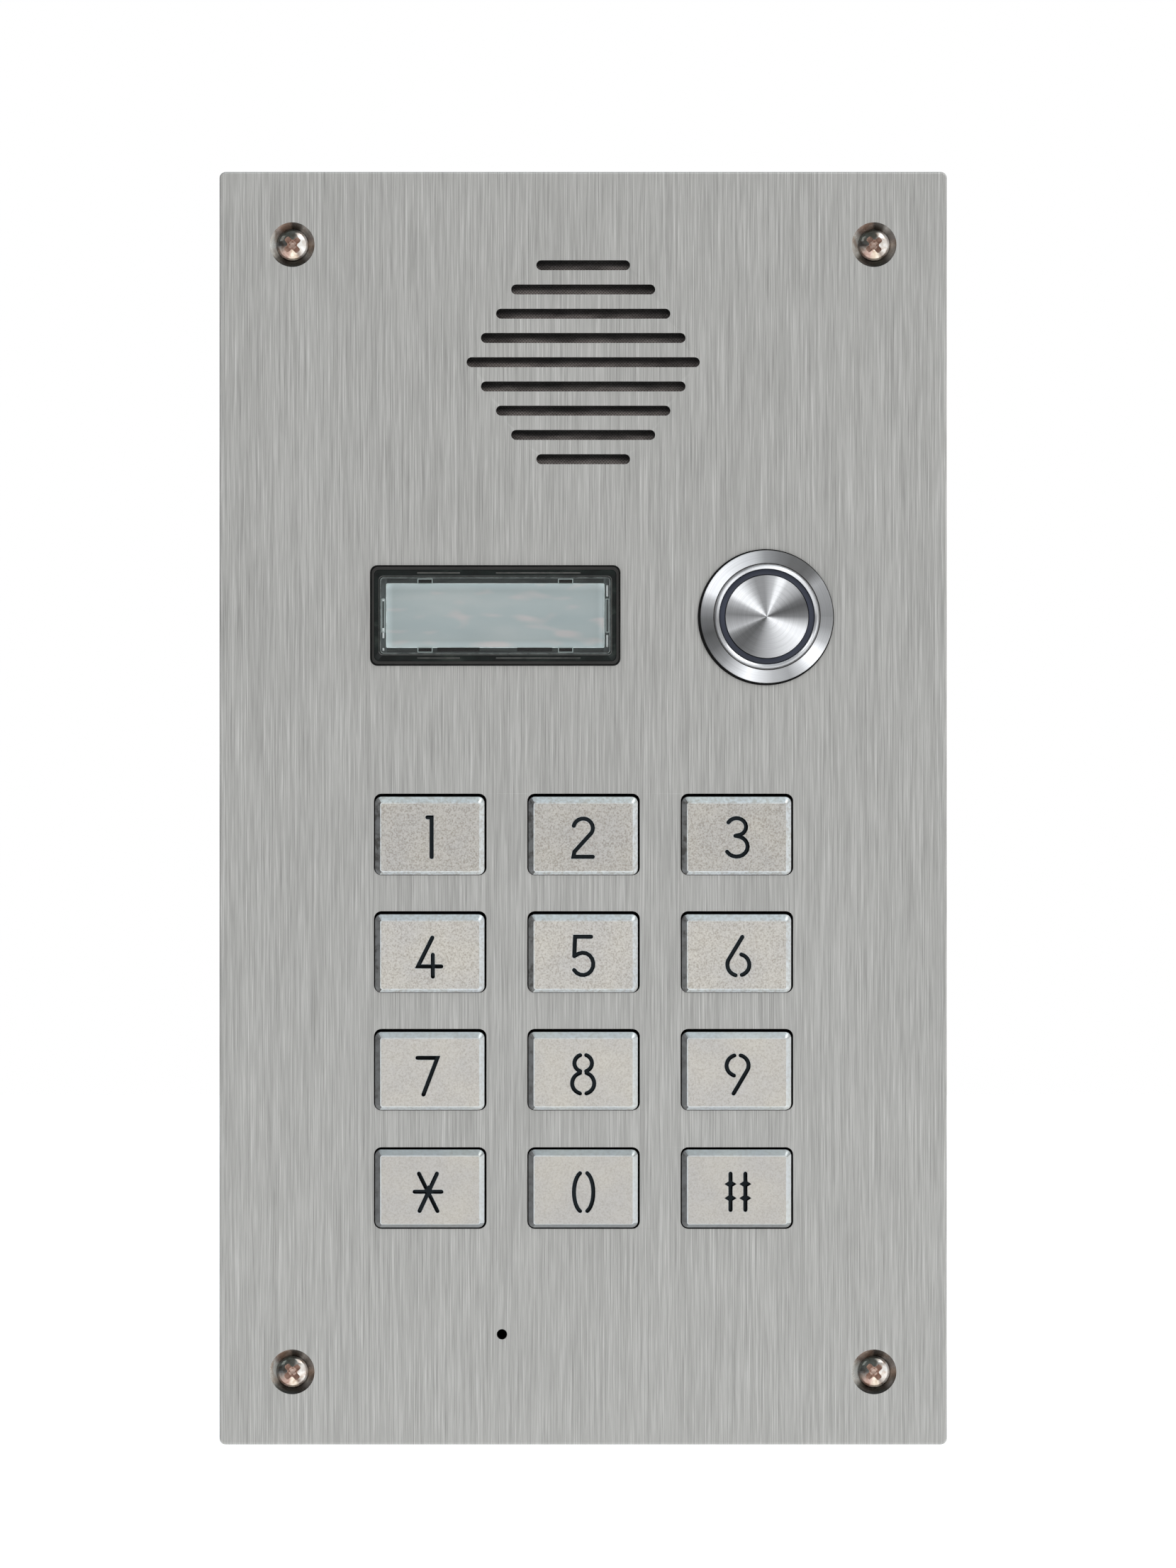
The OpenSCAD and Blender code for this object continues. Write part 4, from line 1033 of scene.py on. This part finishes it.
def key_cap(name, materials):
    """A key with four slopes round its face. The left, top and lower slopes take copies of the slope metal
    in darker tones: painted shade for how the light falls on each side.
    """
    cap = keys[name]
    w, h = cap.w - 2 * FLANGE_RIM, cap.h - 2 * FLANGE_RIM
    sides = rect(cap.x, cap.y, w, h, KEY_CORNER_R)
    sharper = 0.62  # how much less than KEY_CORNER_R the corners of the face are

    def slope_outline(share):
        """The outline of the slopes, from 0 at their foot to 1 at the rim of the face."""
        x = cap.x + share * (SLOPE_LEFT - SLOPE_RIGHT) / 2
        y = cap.y - KEY_SLACK_ABOVE / 2 + share * (SLOPE_BELOW - SLOPE_ABOVE) / 2
        ring_w = w - 2 * KEY_SLACK - share * (SLOPE_LEFT + SLOPE_RIGHT)
        ring_h = h - 2 * KEY_SLACK - KEY_SLACK_ABOVE - share * (SLOPE_BELOW + SLOPE_ABOVE)
        return rounded_rect(x, y, ring_w, ring_h, KEY_CORNER_R - sharper * share)

    flange_front = cap.back + FLANGE_T
    skirt = soften([
        (-KEY_POCKET, cap.front - KEY_WALL), (-KEY_POCKET, cap.back), (FLANGE_RIM, cap.back),
        (FLANGE_RIM, flange_front), (-KEY_SLACK, flange_front), (-KEY_SLACK, plate.front - 0.5),
    ], 0.1)
    slopes = soften([
        (0, plate.front - 0.4), (0, plate.front - 0.1), (0, plate.front + KEY_RISE), (1, cap.front),
        (1.2, cap.front),
    ], 0.09)
    shape = Shape()
    lower = shape.rings(sides, skirt)
    shape.wall(lower, SKIRT)
    shape.lid(lower[0], finish=SKIRT)
    upper = shape.rings(slope_outline, slopes)
    hidden = 4  # how many of the upper rings lie behind the faceplate's front
    # The foot of the slopes behind the faceplate's front takes the near-black skirt finish: painted shade in
    # the gap.
    shape.wall([lower[-1], *upper[:hidden]], SKIRT)
    shape.wall(upper[hidden - 1:], SLOPE)
    shape.lid(upper[-1], finish=FACE)
    made = mesh_object(f"metal_key_{name}", shape, materials)
    # Painted shade: the left, top and lower slopes get their own darker copies of the slope metal.
    for face in made.data.polygons:
        if face.material_index != SLOPE:
            continue
        if face.normal.x < -0.2:
            face.material_index = LEFT_SLOPE
        elif face.normal.z > 0.2:
            face.material_index = TOP_SLOPE
        elif face.normal.z < -0.2:
            face.material_index = LOWER_SLOPE
    cut(made, digit_cutters(name, cap))
    finish_piece(made, f"key_{name}", f"key_{name}_cap", 25)


def keypad():
    materials = key_materials()
    for name in KEY_NAMES:
        key_cap(name, materials)


# ---- Name window ----

HOOK_X, HOOK_W, HOOK_REACH = 11.6, 2.5, 0.9
HOOK_Y = (LABEL_H + HOOK_REACH) / 2
BRACKET_X = 18.5


def window_surround(ledge):
    smoked, card_edge_painted_highlight, lip, rim, shade, misty = range(6)
    materials = [
        smoked_plastic(),
        frosted_edge("card_rim_painted_highlight", (0.92, 0.98, 0.97), 0.7),
        frosted_edge("rib_plastic", (0.055, 0.055, 0.05)),
        moulded("window_rim", (0.012, 0.011, 0.01), 0.35, 0.3, 0.006, Specular_IOR_Level=0.35),
        moulded("window_foot_painted_shadow", (0.001, 0.001, 0.001), 0.7, 0.3, 0.006, Specular_IOR_Level=0.1),
        misty_ledge(),
    ]
    w, h, front, back = window.w, window.h, window.front, window.back
    floor = front - 0.14
    lip_top = front - 0.08
    # Rounded rectangles of (w, h, r, level) for each finish, from the foot over the front and round the back
    bands = [
        # Painted shadow: a near-black foot round the surround where it meets the faceplate.
        (shade, [
            (w, h, 1.2, plate.front), (w, h, 1.2, plate.front + 0.1), (w - 0.6, h - 0.6, 1.0, front - 0.1),
        ]),
        (rim, [(w - 0.7, h - 0.7, 0.95, front), (w - 1.35, h - 1.5, 0.8, front)]),
        (smoked, [(w - 1.5, h - 1.65, 0.75, floor), (pane.w + 0.5, pane.h + 0.5, 0.7, floor)]),
        (lip, [(pane.w + 0.34, pane.h + 0.34, 0.7, lip_top), (pane.w + 0.24, pane.h + 0.24, 0.62, lip_top)]),
        (smoked, [(pane.w + 0.1, pane.h + 0.1, 0.6, front - 0.2), (pane.w + 0.1, pane.h + 0.1, 0.6, ledge)]),
        (misty, [(LABEL_W + 0.24, LABEL_H + 0.24, 0.22, ledge)]),
        # Painted highlight: the near-white wall down to the card makes the bright line round it.
        (card_edge_painted_highlight, [(LABEL_W + 0.04, LABEL_H + 0.04, 0.2, ledge), (LABEL_W, LABEL_H, 0.2, card.front)]),
        (smoked, [
            (pane.w + 0.6, pane.h + 0.6, 0.6, card.front), (pane.w + 0.6, pane.h + 0.6, 0.6, back + 0.2),
            (pane.w + 0.8, pane.h + 0.8, 0.6, back), (w - 1.5, h - 1.5, 0.8, back),
            (w - 1.3, h - 1.3, 1.0, back + 0.2), (w - 1.3, h - 1.3, 1.0, plate.front),
        ]),
    ]
    shape = Shape()
    rings = []
    for finish, sections in bands:
        joined_on = rings[-1:]
        for *outline, level in sections:
            rings.append(shape.ring(rounded_rect(window.x, window.y, *outline), level))
        shape.wall(joined_on + rings[-len(sections):], finish)
    shape.join(rings[-1], rings[0], smoked)
    piece("window_surround", shape, materials, "window_frame")
    return materials[lip], materials[shade]


def window_ribs(ledge, lip, shade):
    """Raised lines on the surround, and dark blocks inside the hooks and along the foot of the card."""
    x, y, front = window.x, window.y, window.front
    rib_y, rib_h, shade_h = 7.03, 0.24, 0.6
    shade_y = (LABEL_H + 0.75) / 2
    shape = Shape()
    for end in (-1, 1):
        for left, right in ((-12.9, -5.8), (0.1, 14.1)):
            middle = (left + right) / 2
            shape.block(x + middle, y + end * rib_y, right - left, rib_h,
                        front - 0.2, front - 0.04, 0.06, 0.1)
        for side in (-1, 1):
            shape.block(x + side * HOOK_X, y + end * HOOK_Y, HOOK_W - 0.3, HOOK_REACH - 0.25,
                        ledge - 0.1, ledge + 0.12, 0.05, 0.1, 1)
    for left, right in ((-9.6, -2.6), (3.6, 9.4)):
        shape.block(x + (left + right) / 2, y - shade_y, right - left, shade_h,
                    ledge - 0.1, ledge + 0.06, 0.03, 0.08, 1)
    piece("window_ribs", shape, [lip, shade])


def window_pane(ledge):
    bevel = 0.14
    profile = [(0, ledge), (0, pane.front - bevel), (-bevel, pane.front)]
    shape = Shape()
    rings = shape.rings(rect(window.x, window.y, pane.w, pane.h, 0.6), profile)
    shape.wall(rings[:2])
    shape.wall(rings[1:], 1)
    shape.ends(rings)
    lip = frosted_edge("pane_edge", (0.42, 0.46, 0.45))
    piece("window_pane", shape, [clear_pane(), lip], "window_lens")


def card_clips(ledge):
    """Four hooks and two brackets round the card, as thin frames, with bright wedges at its ends as painted
    glints.
    """
    x, y = window.x, window.y
    line, bracket_w, bracket_h, wedge_w = 0.14, 0.62, 5.6, 0.34
    low, high = ledge - 0.05, ledge + 0.14
    frames = [(side * HOOK_X, end * HOOK_Y, HOOK_W, HOOK_REACH) for side, end in CORNERS]
    frames += [(side * BRACKET_X, 0, bracket_w, bracket_h) for side in (-1, 1)]
    shape = Shape()
    for frame_x, frame_y, w, h in frames:
        inner_w, inner_h = w - 2 * line, h - 2 * line
        shape.loop(x + frame_x, y + frame_y, [
            (w, h, 0.05, low), (w, h, 0.05, high),
            (inner_w, inner_h, 0.03, high), (inner_w, inner_h, 0.03, low),
        ])
    # Painted glints: near-white wedges where the brackets catch the light.
    for side, up, tall in ((1, 4.1, 1.9), (1, -4.2, 2.0), (-1, -2.9, 1.7), (-1, 2.6, 0.5), (-1, -5.6, 0.5)):
        shape.block(x + side * BRACKET_X, y + up, wedge_w, tall, low, high, 0.08, 0.1, 1)
    outline = frosted_edge("clip_outline", (0.4, 0.46, 0.45), 0.85)
    glint = frosted_edge("clip_wedge_painted_glint", (0.8, 0.82, 0.82), 0.85)
    piece("card_clips", shape, [outline, glint])


def name_window():
    ledge = pane.front - 1.3
    lip, shade = window_surround(ledge)
    window_ribs(ledge, lip, shade)
    window_pane(ledge)
    card_clips(ledge)


# ---- Call button ----

BUTTON_STEPS = 128


def button_bezel(ring_r, shelf):
    """The threaded barrel with its cone and its lip. The shelf is where the light ring sits."""
    x, y, top = bezel.x, bezel.y, bezel.front
    seal_front = Plan("button_seal").front
    bezel_r = bezel.w / 2
    bore_r = 7.25
    cone_in_r = 8.85
    cone_top = top - 0.2
    crest_r = 8.38
    bezel_metal = spun_metal_with_painted_light("bezel_metal", (x, y), BEZEL_PAINTED_LIGHT, 0.12, 0.36, 0.07)
    lip_metal = spun_metal_with_painted_light("lip_metal", (x, y), LIP_PAINTED_LIGHT, 0.6, 0.22, 0.05)
    cone = [
        (BARREL_R, plate.back + 0.7), (BARREL_R, seal_front), (bezel_r - 0.1, seal_front),
        (bezel_r, seal_front + 0.1), (bezel_r, seal_front + 0.26), (bezel_r - 0.08, seal_front + 0.4),
        (cone_in_r, cone_top), (cone_in_r - 0.03, cone_top - 0.25),
    ]
    lip = soften([
        (cone_in_r - 0.13, cone_top - 0.25), (crest_r, top), (crest_r - 0.14, top),
        (ring_r + 0.06, top - 0.16), (ring_r, top - 0.26),
    ], 0.06)
    inside = [(ring_r, shelf), (bore_r, shelf), (bore_r, bezel.back)]
    shape = Shape()
    thread_top = plate.back + 0.5
    thread = shape.thread(x, y, BARREL_R, bezel.back, thread_top, pitch=1.0, depth=0.4, steps=BUTTON_STEPS)
    outline = disc(x, y, 0, BUTTON_STEPS)
    cone_rings, lip_rings, inside_rings = (shape.rings(outline, part) for part in (cone, lip, inside))
    shape.wall([*thread, *cone_rings[:-1]])
    # The groove below the lip and the bore take the near-black edge finish: painted shade.
    shape.wall([*cone_rings[-2:], lip_rings[0]], 2)
    shape.wall(lip_rings, 1)
    shape.wall([lip_rings[-1], *inside_rings, thread[0]], 2)
    piece("button_bezel", shape, [bezel_metal, lip_metal, dark_edge], "button_body")


def button_washer():
    """The seal under the bezel, set off a little towards the lower left so that its black rubber shows wider
    there as a painted shadow.
    """
    seal = Plan("button_seal")
    shadow_offset = 0.16
    seal_r = seal.w / 2 + 0.08
    hole_r = BARREL_R + BARREL_GAP
    profile = soften([
        (seal_r, seal.back), (seal_r, seal.front), (hole_r, seal.front), (hole_r, seal.back),
    ], 0.06, closed=True)
    washer = moulded("washer_rubber", (0.001, 0.001, 0.001), 0.7, 0.3, 0.006, Specular_IOR_Level=0.15)
    # Painted shadow: the seal is moved towards the lower left.
    x, y = bezel.x - shadow_offset, bezel.y - shadow_offset * 0.6
    turned_piece("button_washer", x, y, profile, BUTTON_STEPS, washer, "button_seal")


def button_lamp_ring(light, disc_r):
    hole_r = disc_r + 0.08
    profile = soften([
        (light.w / 2, light.back), (light.w / 2, light.front), (hole_r, light.front), (hole_r, light.back),
    ], 0.1, closed=True)
    glow = moulded("light_ring", (0.022, 0.026, 0.042), 0.32, 0.3, 0.003, Specular_IOR_Level=0.35)
    turned_piece("button_lamp_ring", bezel.x, bezel.y, profile, BUTTON_STEPS, glow,
                 "button_light_ring")


def button_disc(disc_r, shelf):
    """The part that is pressed: a disc with a collar and a stem under it."""
    pushed = Plan("call_button")
    low, high = pushed.back, pushed.front
    middle_r, stem_r, collar_r = 0.3, 2.5, 7.1
    collar_top = shelf - 0.2
    collar_back = collar_top - 0.9
    profile = [(0, low)] + soften([
        (middle_r, low), (stem_r, low), (stem_r, collar_back), (collar_r, collar_back),
        (collar_r, collar_top), (disc_r, collar_top), (disc_r, high), (middle_r, high),
    ], 0.14, steps=3) + [(0, high)]
    metal = spun_metal_with_painted_light("disc_metal", (bezel.x, bezel.y), DISC_PAINTED_LIGHT, 0.35, 0.26, 0.1)
    turned_piece("button_disc", bezel.x, bezel.y, profile, 160, metal, "call_button", "button")


def barrel_nut():
    nut = Plan("button_nut")
    shape = Shape()
    shape.hexagon(bezel.x, bezel.y, NUT_FLATS, BARREL_R + 0.05, nut.back, nut.front, 96)
    piece("barrel_nut", shape, [bright_metal], "button_nut")


def call_button():
    light = Plan("button_light_ring")
    disc_r = light.w / 2 - 0.97
    button_bezel(light.w / 2 + 0.05, light.back)
    button_washer()
    button_lamp_ring(light, disc_r)
    button_disc(disc_r, light.back)
    barrel_nut()


def fold(made):
    """Gives a piece its own copy of its mesh."""
    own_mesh(made)


def button_spring():
    """A compression spring, wound closer at both ends."""
    spring = Plan("button_spring")
    wire_r = 0.35
    coil_r = spring.w / 2 - wire_r
    turns, steps, sides = 6, 28, 10
    closeness = 0.07
    low, high = spring.back + wire_r, spring.front - wire_r
    shape = Shape()
    rings = []
    count = turns * steps
    for k in range(count + 1):
        share = k / count
        level = low + (high - low) * (share - closeness * math.sin(2 * math.pi * share))
        turn = 2 * math.pi * turns * share
        ring = []
        for i in range(sides):
            side = 2 * math.pi * i / sides
            reach = coil_r + wire_r * math.cos(side)
            ring.append(len(shape.points))
            shape.points.append((
                spring.x + reach * math.cos(turn),
                spring.y + reach * math.sin(turn),
                level + wire_r * math.sin(side),
            ))
        rings.append(ring)
    shape.wall(rings)
    shape.ends(rings)
    steel = plain_metal("spring_steel", (0.62, 0.61, 0.58), 0.3)
    made = piece("return_spring", shape, [steel], "button_spring")
    fold(made)


# ---- Keypad mat ----


def keypad_mat(silicone):
    """A flat sheet with a hole under each key, and a dome over each hole."""
    mat = Plan("keypad_mat")
    sheet_t, dome_r, tip_r, skin = 1.2, 4.5, 2.8, 0.7
    back, front = mat.back, mat.back + sheet_t
    shape = Shape()
    edge = shape.rings(rect(mat.x, mat.y, mat.w, mat.h, 3), edge_profile(front, back, 0.15, -1))
    shape.wall(edge)
    holes = []
    for cap in keys.values():
        hole = shape.rings(disc(cap.x, cap.y, dome_r, 48), edge_profile(front, back, 0.05, 1))
        shape.wall(hole)
        holes.append(hole)
    shape.lid(edge[0], [hole[0] for hole in holes])
    shape.lid(edge[-1], [hole[-1] for hole in holes])
    piece("dome_sheet", shape, [silicone], "keypad_mat")

    foot_r = dome_r - 0.02
    top, under = mat.front, mat.front - 1.1
    profile = [(0, top)] + soften([
        (0.2, top), (tip_r, top), (tip_r, top - 0.4), (foot_r, front), (foot_r, back), (dome_r - skin, back),
        (dome_r - skin, front), (tip_r - skin, under), (0.2, under),
    ], 0.25, steps=3) + [(0, under)]
    for name, cap in keys.items():
        made = turned_piece(f"rubber_dome_{name}", cap.x, cap.y, profile, 48, silicone,
                            "keypad_mat")
        fold(made)


# ---- Wall box ----


def wall_box(box_plastic):
    """The open box, with its bosses for the inserts, its fixing holes, cable hole and round knockouts."""
    box = Plan("back_box")
    entry = Plan("cable_grommet")
    inserts = Plan("box_inserts")
    boss_r, insert_hole_r, fixing_r, entry_r = 3.93, 2.42, 2.25, 7.02
    knockout_r, groove_w, groove_depth = 10, 0.9, 0.5
    outside, inside = box.back - 1, box.back + BOX_WALL + 1
    bend = 3  # how far in from the sides the bottom is drawn, to make room for its rounded edges
    profile = soften([
        (-bend, box.back), (0, box.back), (0, box.front), (-BOX_WALL, box.front),
        (-BOX_WALL, box.back + BOX_WALL), (-BOX_WALL - bend, box.back + BOX_WALL),
    ], 0.7, steps=3)
    shape = Shape()
    shape.solid(rect(box.x, box.y, box.w, box.h, 2), profile)
    made = mesh_object("wall_box", shape, [box_plastic])
    places = screw_places()
    cut(made, [Shape().peg(x, y, boss_r, box.back + 1, box.front - 0.01) for x, y in places], "UNION")
    holes = [Shape().peg(x, y, insert_hole_r, inserts.back - 1, box.front + 1) for x, y in places]
    for side, end in CORNERS:
        x, y = box.x + side * BOX_HOLES[0] / 2, box.y + end * BOX_HOLES[1] / 2
        holes.append(Shape().peg(x, y, fixing_r, outside, inside))
    holes.append(Shape().peg(entry.x, entry.y, entry_r, outside, inside, 64))
    for up in (-62, -10, 30):
        groove = Shape()
        groove.turned(box.x, box.y + up, [
            (knockout_r, outside), (knockout_r, box.back + groove_depth),
            (knockout_r - groove_w, box.back + groove_depth), (knockout_r - groove_w, outside),
        ], 64)
        holes.append(groove)
    cut(made, holes)
    finish_piece(made, "panel", "back_box")


def wall_gasket(gasket_rubber):
    """The seal round the box, against the back of the faceplate."""
    box = Plan("back_box")
    gasket = Plan("rim_gasket")
    w, h, back, front = gasket.w, gasket.h, gasket.back, gasket.front
    hole_w, hole_h = box.w + 1, box.h + 1
    shape = Shape()
    shape.loop(gasket.x, gasket.y, [
        (w - 0.5, h - 0.5, 0.8, back), (w, h, 1, back + 0.3),
        (w, h, 1, front - 0.3), (w - 0.5, h - 0.5, 0.8, front),
        (hole_w + 0.4, hole_h + 0.4, 2, front), (hole_w, hole_h, 2, front - 0.2),
        (hole_w, hole_h, 2, back + 0.2), (hole_w + 0.4, hole_h + 0.4, 2, back),
    ])
    piece("wall_gasket", shape, [gasket_rubber], "rim_gasket")


def cable_seal(gasket_rubber):
    """A grommet whose groove holds the back of the box."""
    box_back = Plan("back_box").back
    entry = Plan("cable_grommet")
    bore, groove_r, flange_r = 3.5, 7.0, 9.0
    groove_top = box_back + BOX_WALL
    profile = soften([
        (bore, entry.back), (flange_r, entry.back), (flange_r, box_back), (groove_r, box_back),
        (groove_r, groove_top), (flange_r, groove_top), (flange_r - 0.6, entry.front), (bore, entry.front),
    ], 0.4, closed=True, steps=3)
    turned_piece("cable_seal", entry.x, entry.y, profile, 72, gasket_rubber, "cable_grommet")


def brass_inserts(brass):
    """Round inserts with a groove round the middle."""
    inserts = Plan("box_inserts")
    back = inserts.back
    bore, outer_r, waist_r = 1.55, 2.4, 2.2
    profile = soften([
        (bore, back), (outer_r, back), (outer_r, back + 4), (waist_r, back + 4.3), (waist_r, back + 5.2),
        (outer_r, back + 5.5), (outer_r, inserts.front), (bore, inserts.front),
    ], 0.12, closed=True)
    shape = Shape()
    for x, y in screw_places():
        shape.turned(x, y, profile, 40)
    piece("brass_inserts", shape, [brass], "box_inserts")


# ---- CAD nodes that keep their own shape ----


def dress(node, material):
    """Gives a CAD node its finish."""
    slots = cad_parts[node].data.materials
    if not slots:
        slots.append(material)
    for number in range(len(slots)):
        slots[number] = material


def dress_inside(brass):
    board = circuit_board()
    black = moulded("black_plastic", (0.02, 0.02, 0.022), 0.42)
    filling = moulded("digit_filling", (0.0008, 0.0035, 0.0055), 0.45, 0.25, 0.006, Specular_IOR_Level=0.15)
    finishes = {
        "board_standoffs": brass,
        "speaker_cloth": woven_cloth(Plan("speaker_cloth").y),
        "speaker_gasket": rubber("gasket_foam", (0.02, 0.02, 0.021), 0.85),
        "speaker_basket": plain_metal("basket_metal", (0.12, 0.12, 0.125), 0.4),
        "speaker_cone": glued_paper(),
        "speaker_magnet": plain_metal("magnet_iron", (0.2, 0.2, 0.21), 0.45, 0.6, 0.01),
        "speaker_clamps": bright_metal,
        "mic_boot": rubber("boot_rubber", (0.012, 0.012, 0.012), 0.7),
        "mic_capsule": moulded(
            "capsule_felt", (0.003, 0.003, 0.003), 0.9, 0.3, 0.02, Specular_IOR_Level=0.1,
        ),
        "label_card": name_card(),
        "light_guide": moulded("light_guide", (0.62, 0.66, 0.68), 0.3, 0.4, 0.005),
        "backlight_board": board,
        "button_switch": black,
        "keypad_frame": black,
        "keypad_board": board,
        "main_board": board,
        "board_parts": black,
        "board_capacitors": moulded("capacitor_sleeve", (0.02, 0.03, 0.09), 0.25, 0.6, 0.004),
        "terminal_block": moulded("terminal_plastic", (0.02, 0.13, 0.06), 0.4),
        "weld_studs": bright_metal,
        "stud_nuts": bright_metal,
    }
    finishes.update({f"key_{name}_core": filling for name in KEY_NAMES})
    for node, material in finishes.items():
        dress(node, material)


# ---- Floor, lights and camera ----


def studio_floor():
    """A pale floor, bright enough to meet the white surroundings without a line."""
    half = 6.0
    level = -0.24
    mesh = bpy.data.meshes.new("studio_floor")
    corners = [(-half, -half, level), (half, -half, level), (half, half, level), (-half, half, level)]
    mesh.from_pydata(corners, [], [(0, 1, 2, 3)])
    floor = add_object("studio_floor", mesh)
    pale = Finish("pale_floor", (0.9, 0.9, 0.9), 0.8)
    pale.shader.inputs["Emission Color"].default_value = (1, 1, 1, 1)
    pale.shader.inputs["Emission Strength"].default_value = 0.55
    pale.bump(pale.noise(30, 3), 0.2)
    mesh.materials.append(pale.material)


def studio_world():
    """White to the camera. Reflections and light see a soft room: bluish above, bright right, dark left."""
    world = bpy.data.worlds.new("studio")
    bpy.context.scene.world = world
    world.use_nodes = True
    world.node_tree.nodes.clear()
    nodes = Nodes(world.node_tree)
    direction = nodes.node("ShaderNodeTexCoord").outputs["Generated"]
    across = nodes.ramp(nodes.span(nodes.part(direction, "X"), 0, 1, -1, 1), [
        (0.0, (0.03, 0.032, 0.035)), (0.12, (0.12, 0.12, 0.125)), (0.25, (0.42, 0.42, 0.425)),
        (0.38, (0.6, 0.6, 0.6)), (0.5, (0.65, 0.65, 0.64)), (0.8, (0.76, 0.76, 0.75)),
        (1.0, (0.86, 0.86, 0.85)),
    ])
    upright = nodes.ramp(nodes.span(nodes.part(direction, "Z"), 0, 1, -1, 1), [
        (0.0, (0.75, 0.74, 0.72)), (0.4, (0.95, 0.94, 0.93)), (0.55, (1, 1, 1)), (0.8, (0.95, 0.99, 1.0)),
        (1.0, (0.85, 0.95, 1.0)),
    ])
    room = nodes.node("ShaderNodeBackground")
    nodes.put(room.inputs["Color"], nodes.times(across, upright))
    white = nodes.node("ShaderNodeBackground")
    nodes.put(white.inputs["Color"], (1, 1, 1))
    choice = nodes.node("ShaderNodeMixShader")
    nodes.put(choice.inputs["Fac"], nodes.node("ShaderNodeLightPath").outputs["Is Camera Ray"])
    nodes.put(choice.inputs[1], room.outputs[0])
    nodes.put(choice.inputs[2], white.outputs[0])
    output = nodes.node("ShaderNodeOutputWorld")
    nodes.put(output.inputs["Surface"], choice.outputs[0])


def area_light(name, place, size, power, colour=(1, 1, 1)):
    """A softbox that faces the middle of the panel."""
    light = bpy.data.lights.new(name, "AREA")
    light.shape = "RECTANGLE"
    light.size, light.size_y = size
    light.energy = power
    light.color = colour
    made = add_object(name, light)
    made.location = place
    made.rotation_euler = (-Vector(place)).to_track_quat("-Z", "Y").to_euler()


def lights():
    area_light("key_light", (0.7, -0.95, 1.1), (0.8, 0.8), 7.5)
    area_light("fill_light", (-0.9, -0.8, 0.7), (0.5, 0.5), 1.6)
    area_light("top_light", (0.05, -0.3, 1.2), (1.0, 0.5), 0.7, (0.86, 0.94, 1.0))
    bpy.context.scene.view_settings.view_transform = "Standard"


def camera():
    """Square on to the panel, far enough back for its edges to stay parallel."""
    low, high = (Vector(corner) for corner in cad_bounds)
    middle = (low + high) / 2
    aside, above = 0.0008, 0.004
    distance = 1.6
    view_w = 0.1938
    lens = bpy.data.cameras.new("camera")
    lens.sensor_fit = "HORIZONTAL"
    lens.sensor_width = 36
    lens.lens = lens.sensor_width * distance / view_w
    lens.clip_end = 50
    made = add_object("camera", lens)
    made.location = (middle.x + aside, low.y - distance, middle.z + above)
    made.rotation_euler = (math.pi / 2, 0, 0)
    bpy.context.scene.camera = made


brass = plain_metal("brass", (0.78, 0.56, 0.24), 0.28)
gasket_rubber = rubber("gasket_rubber", (0.014, 0.014, 0.014), 0.75)
camera()
faceplate()
corner_screws()
keypad()
name_window()
call_button()
button_spring()
keypad_mat(rubber("mat_silicone", (0.05, 0.05, 0.052), 0.6))
wall_box(moulded("box_plastic", (0.022, 0.022, 0.023), 0.5, 0.5, 0.02))
wall_gasket(gasket_rubber)
cable_seal(gasket_rubber)
brass_inserts(brass)
dress_inside(brass)
studio_floor()
studio_world()
lights()
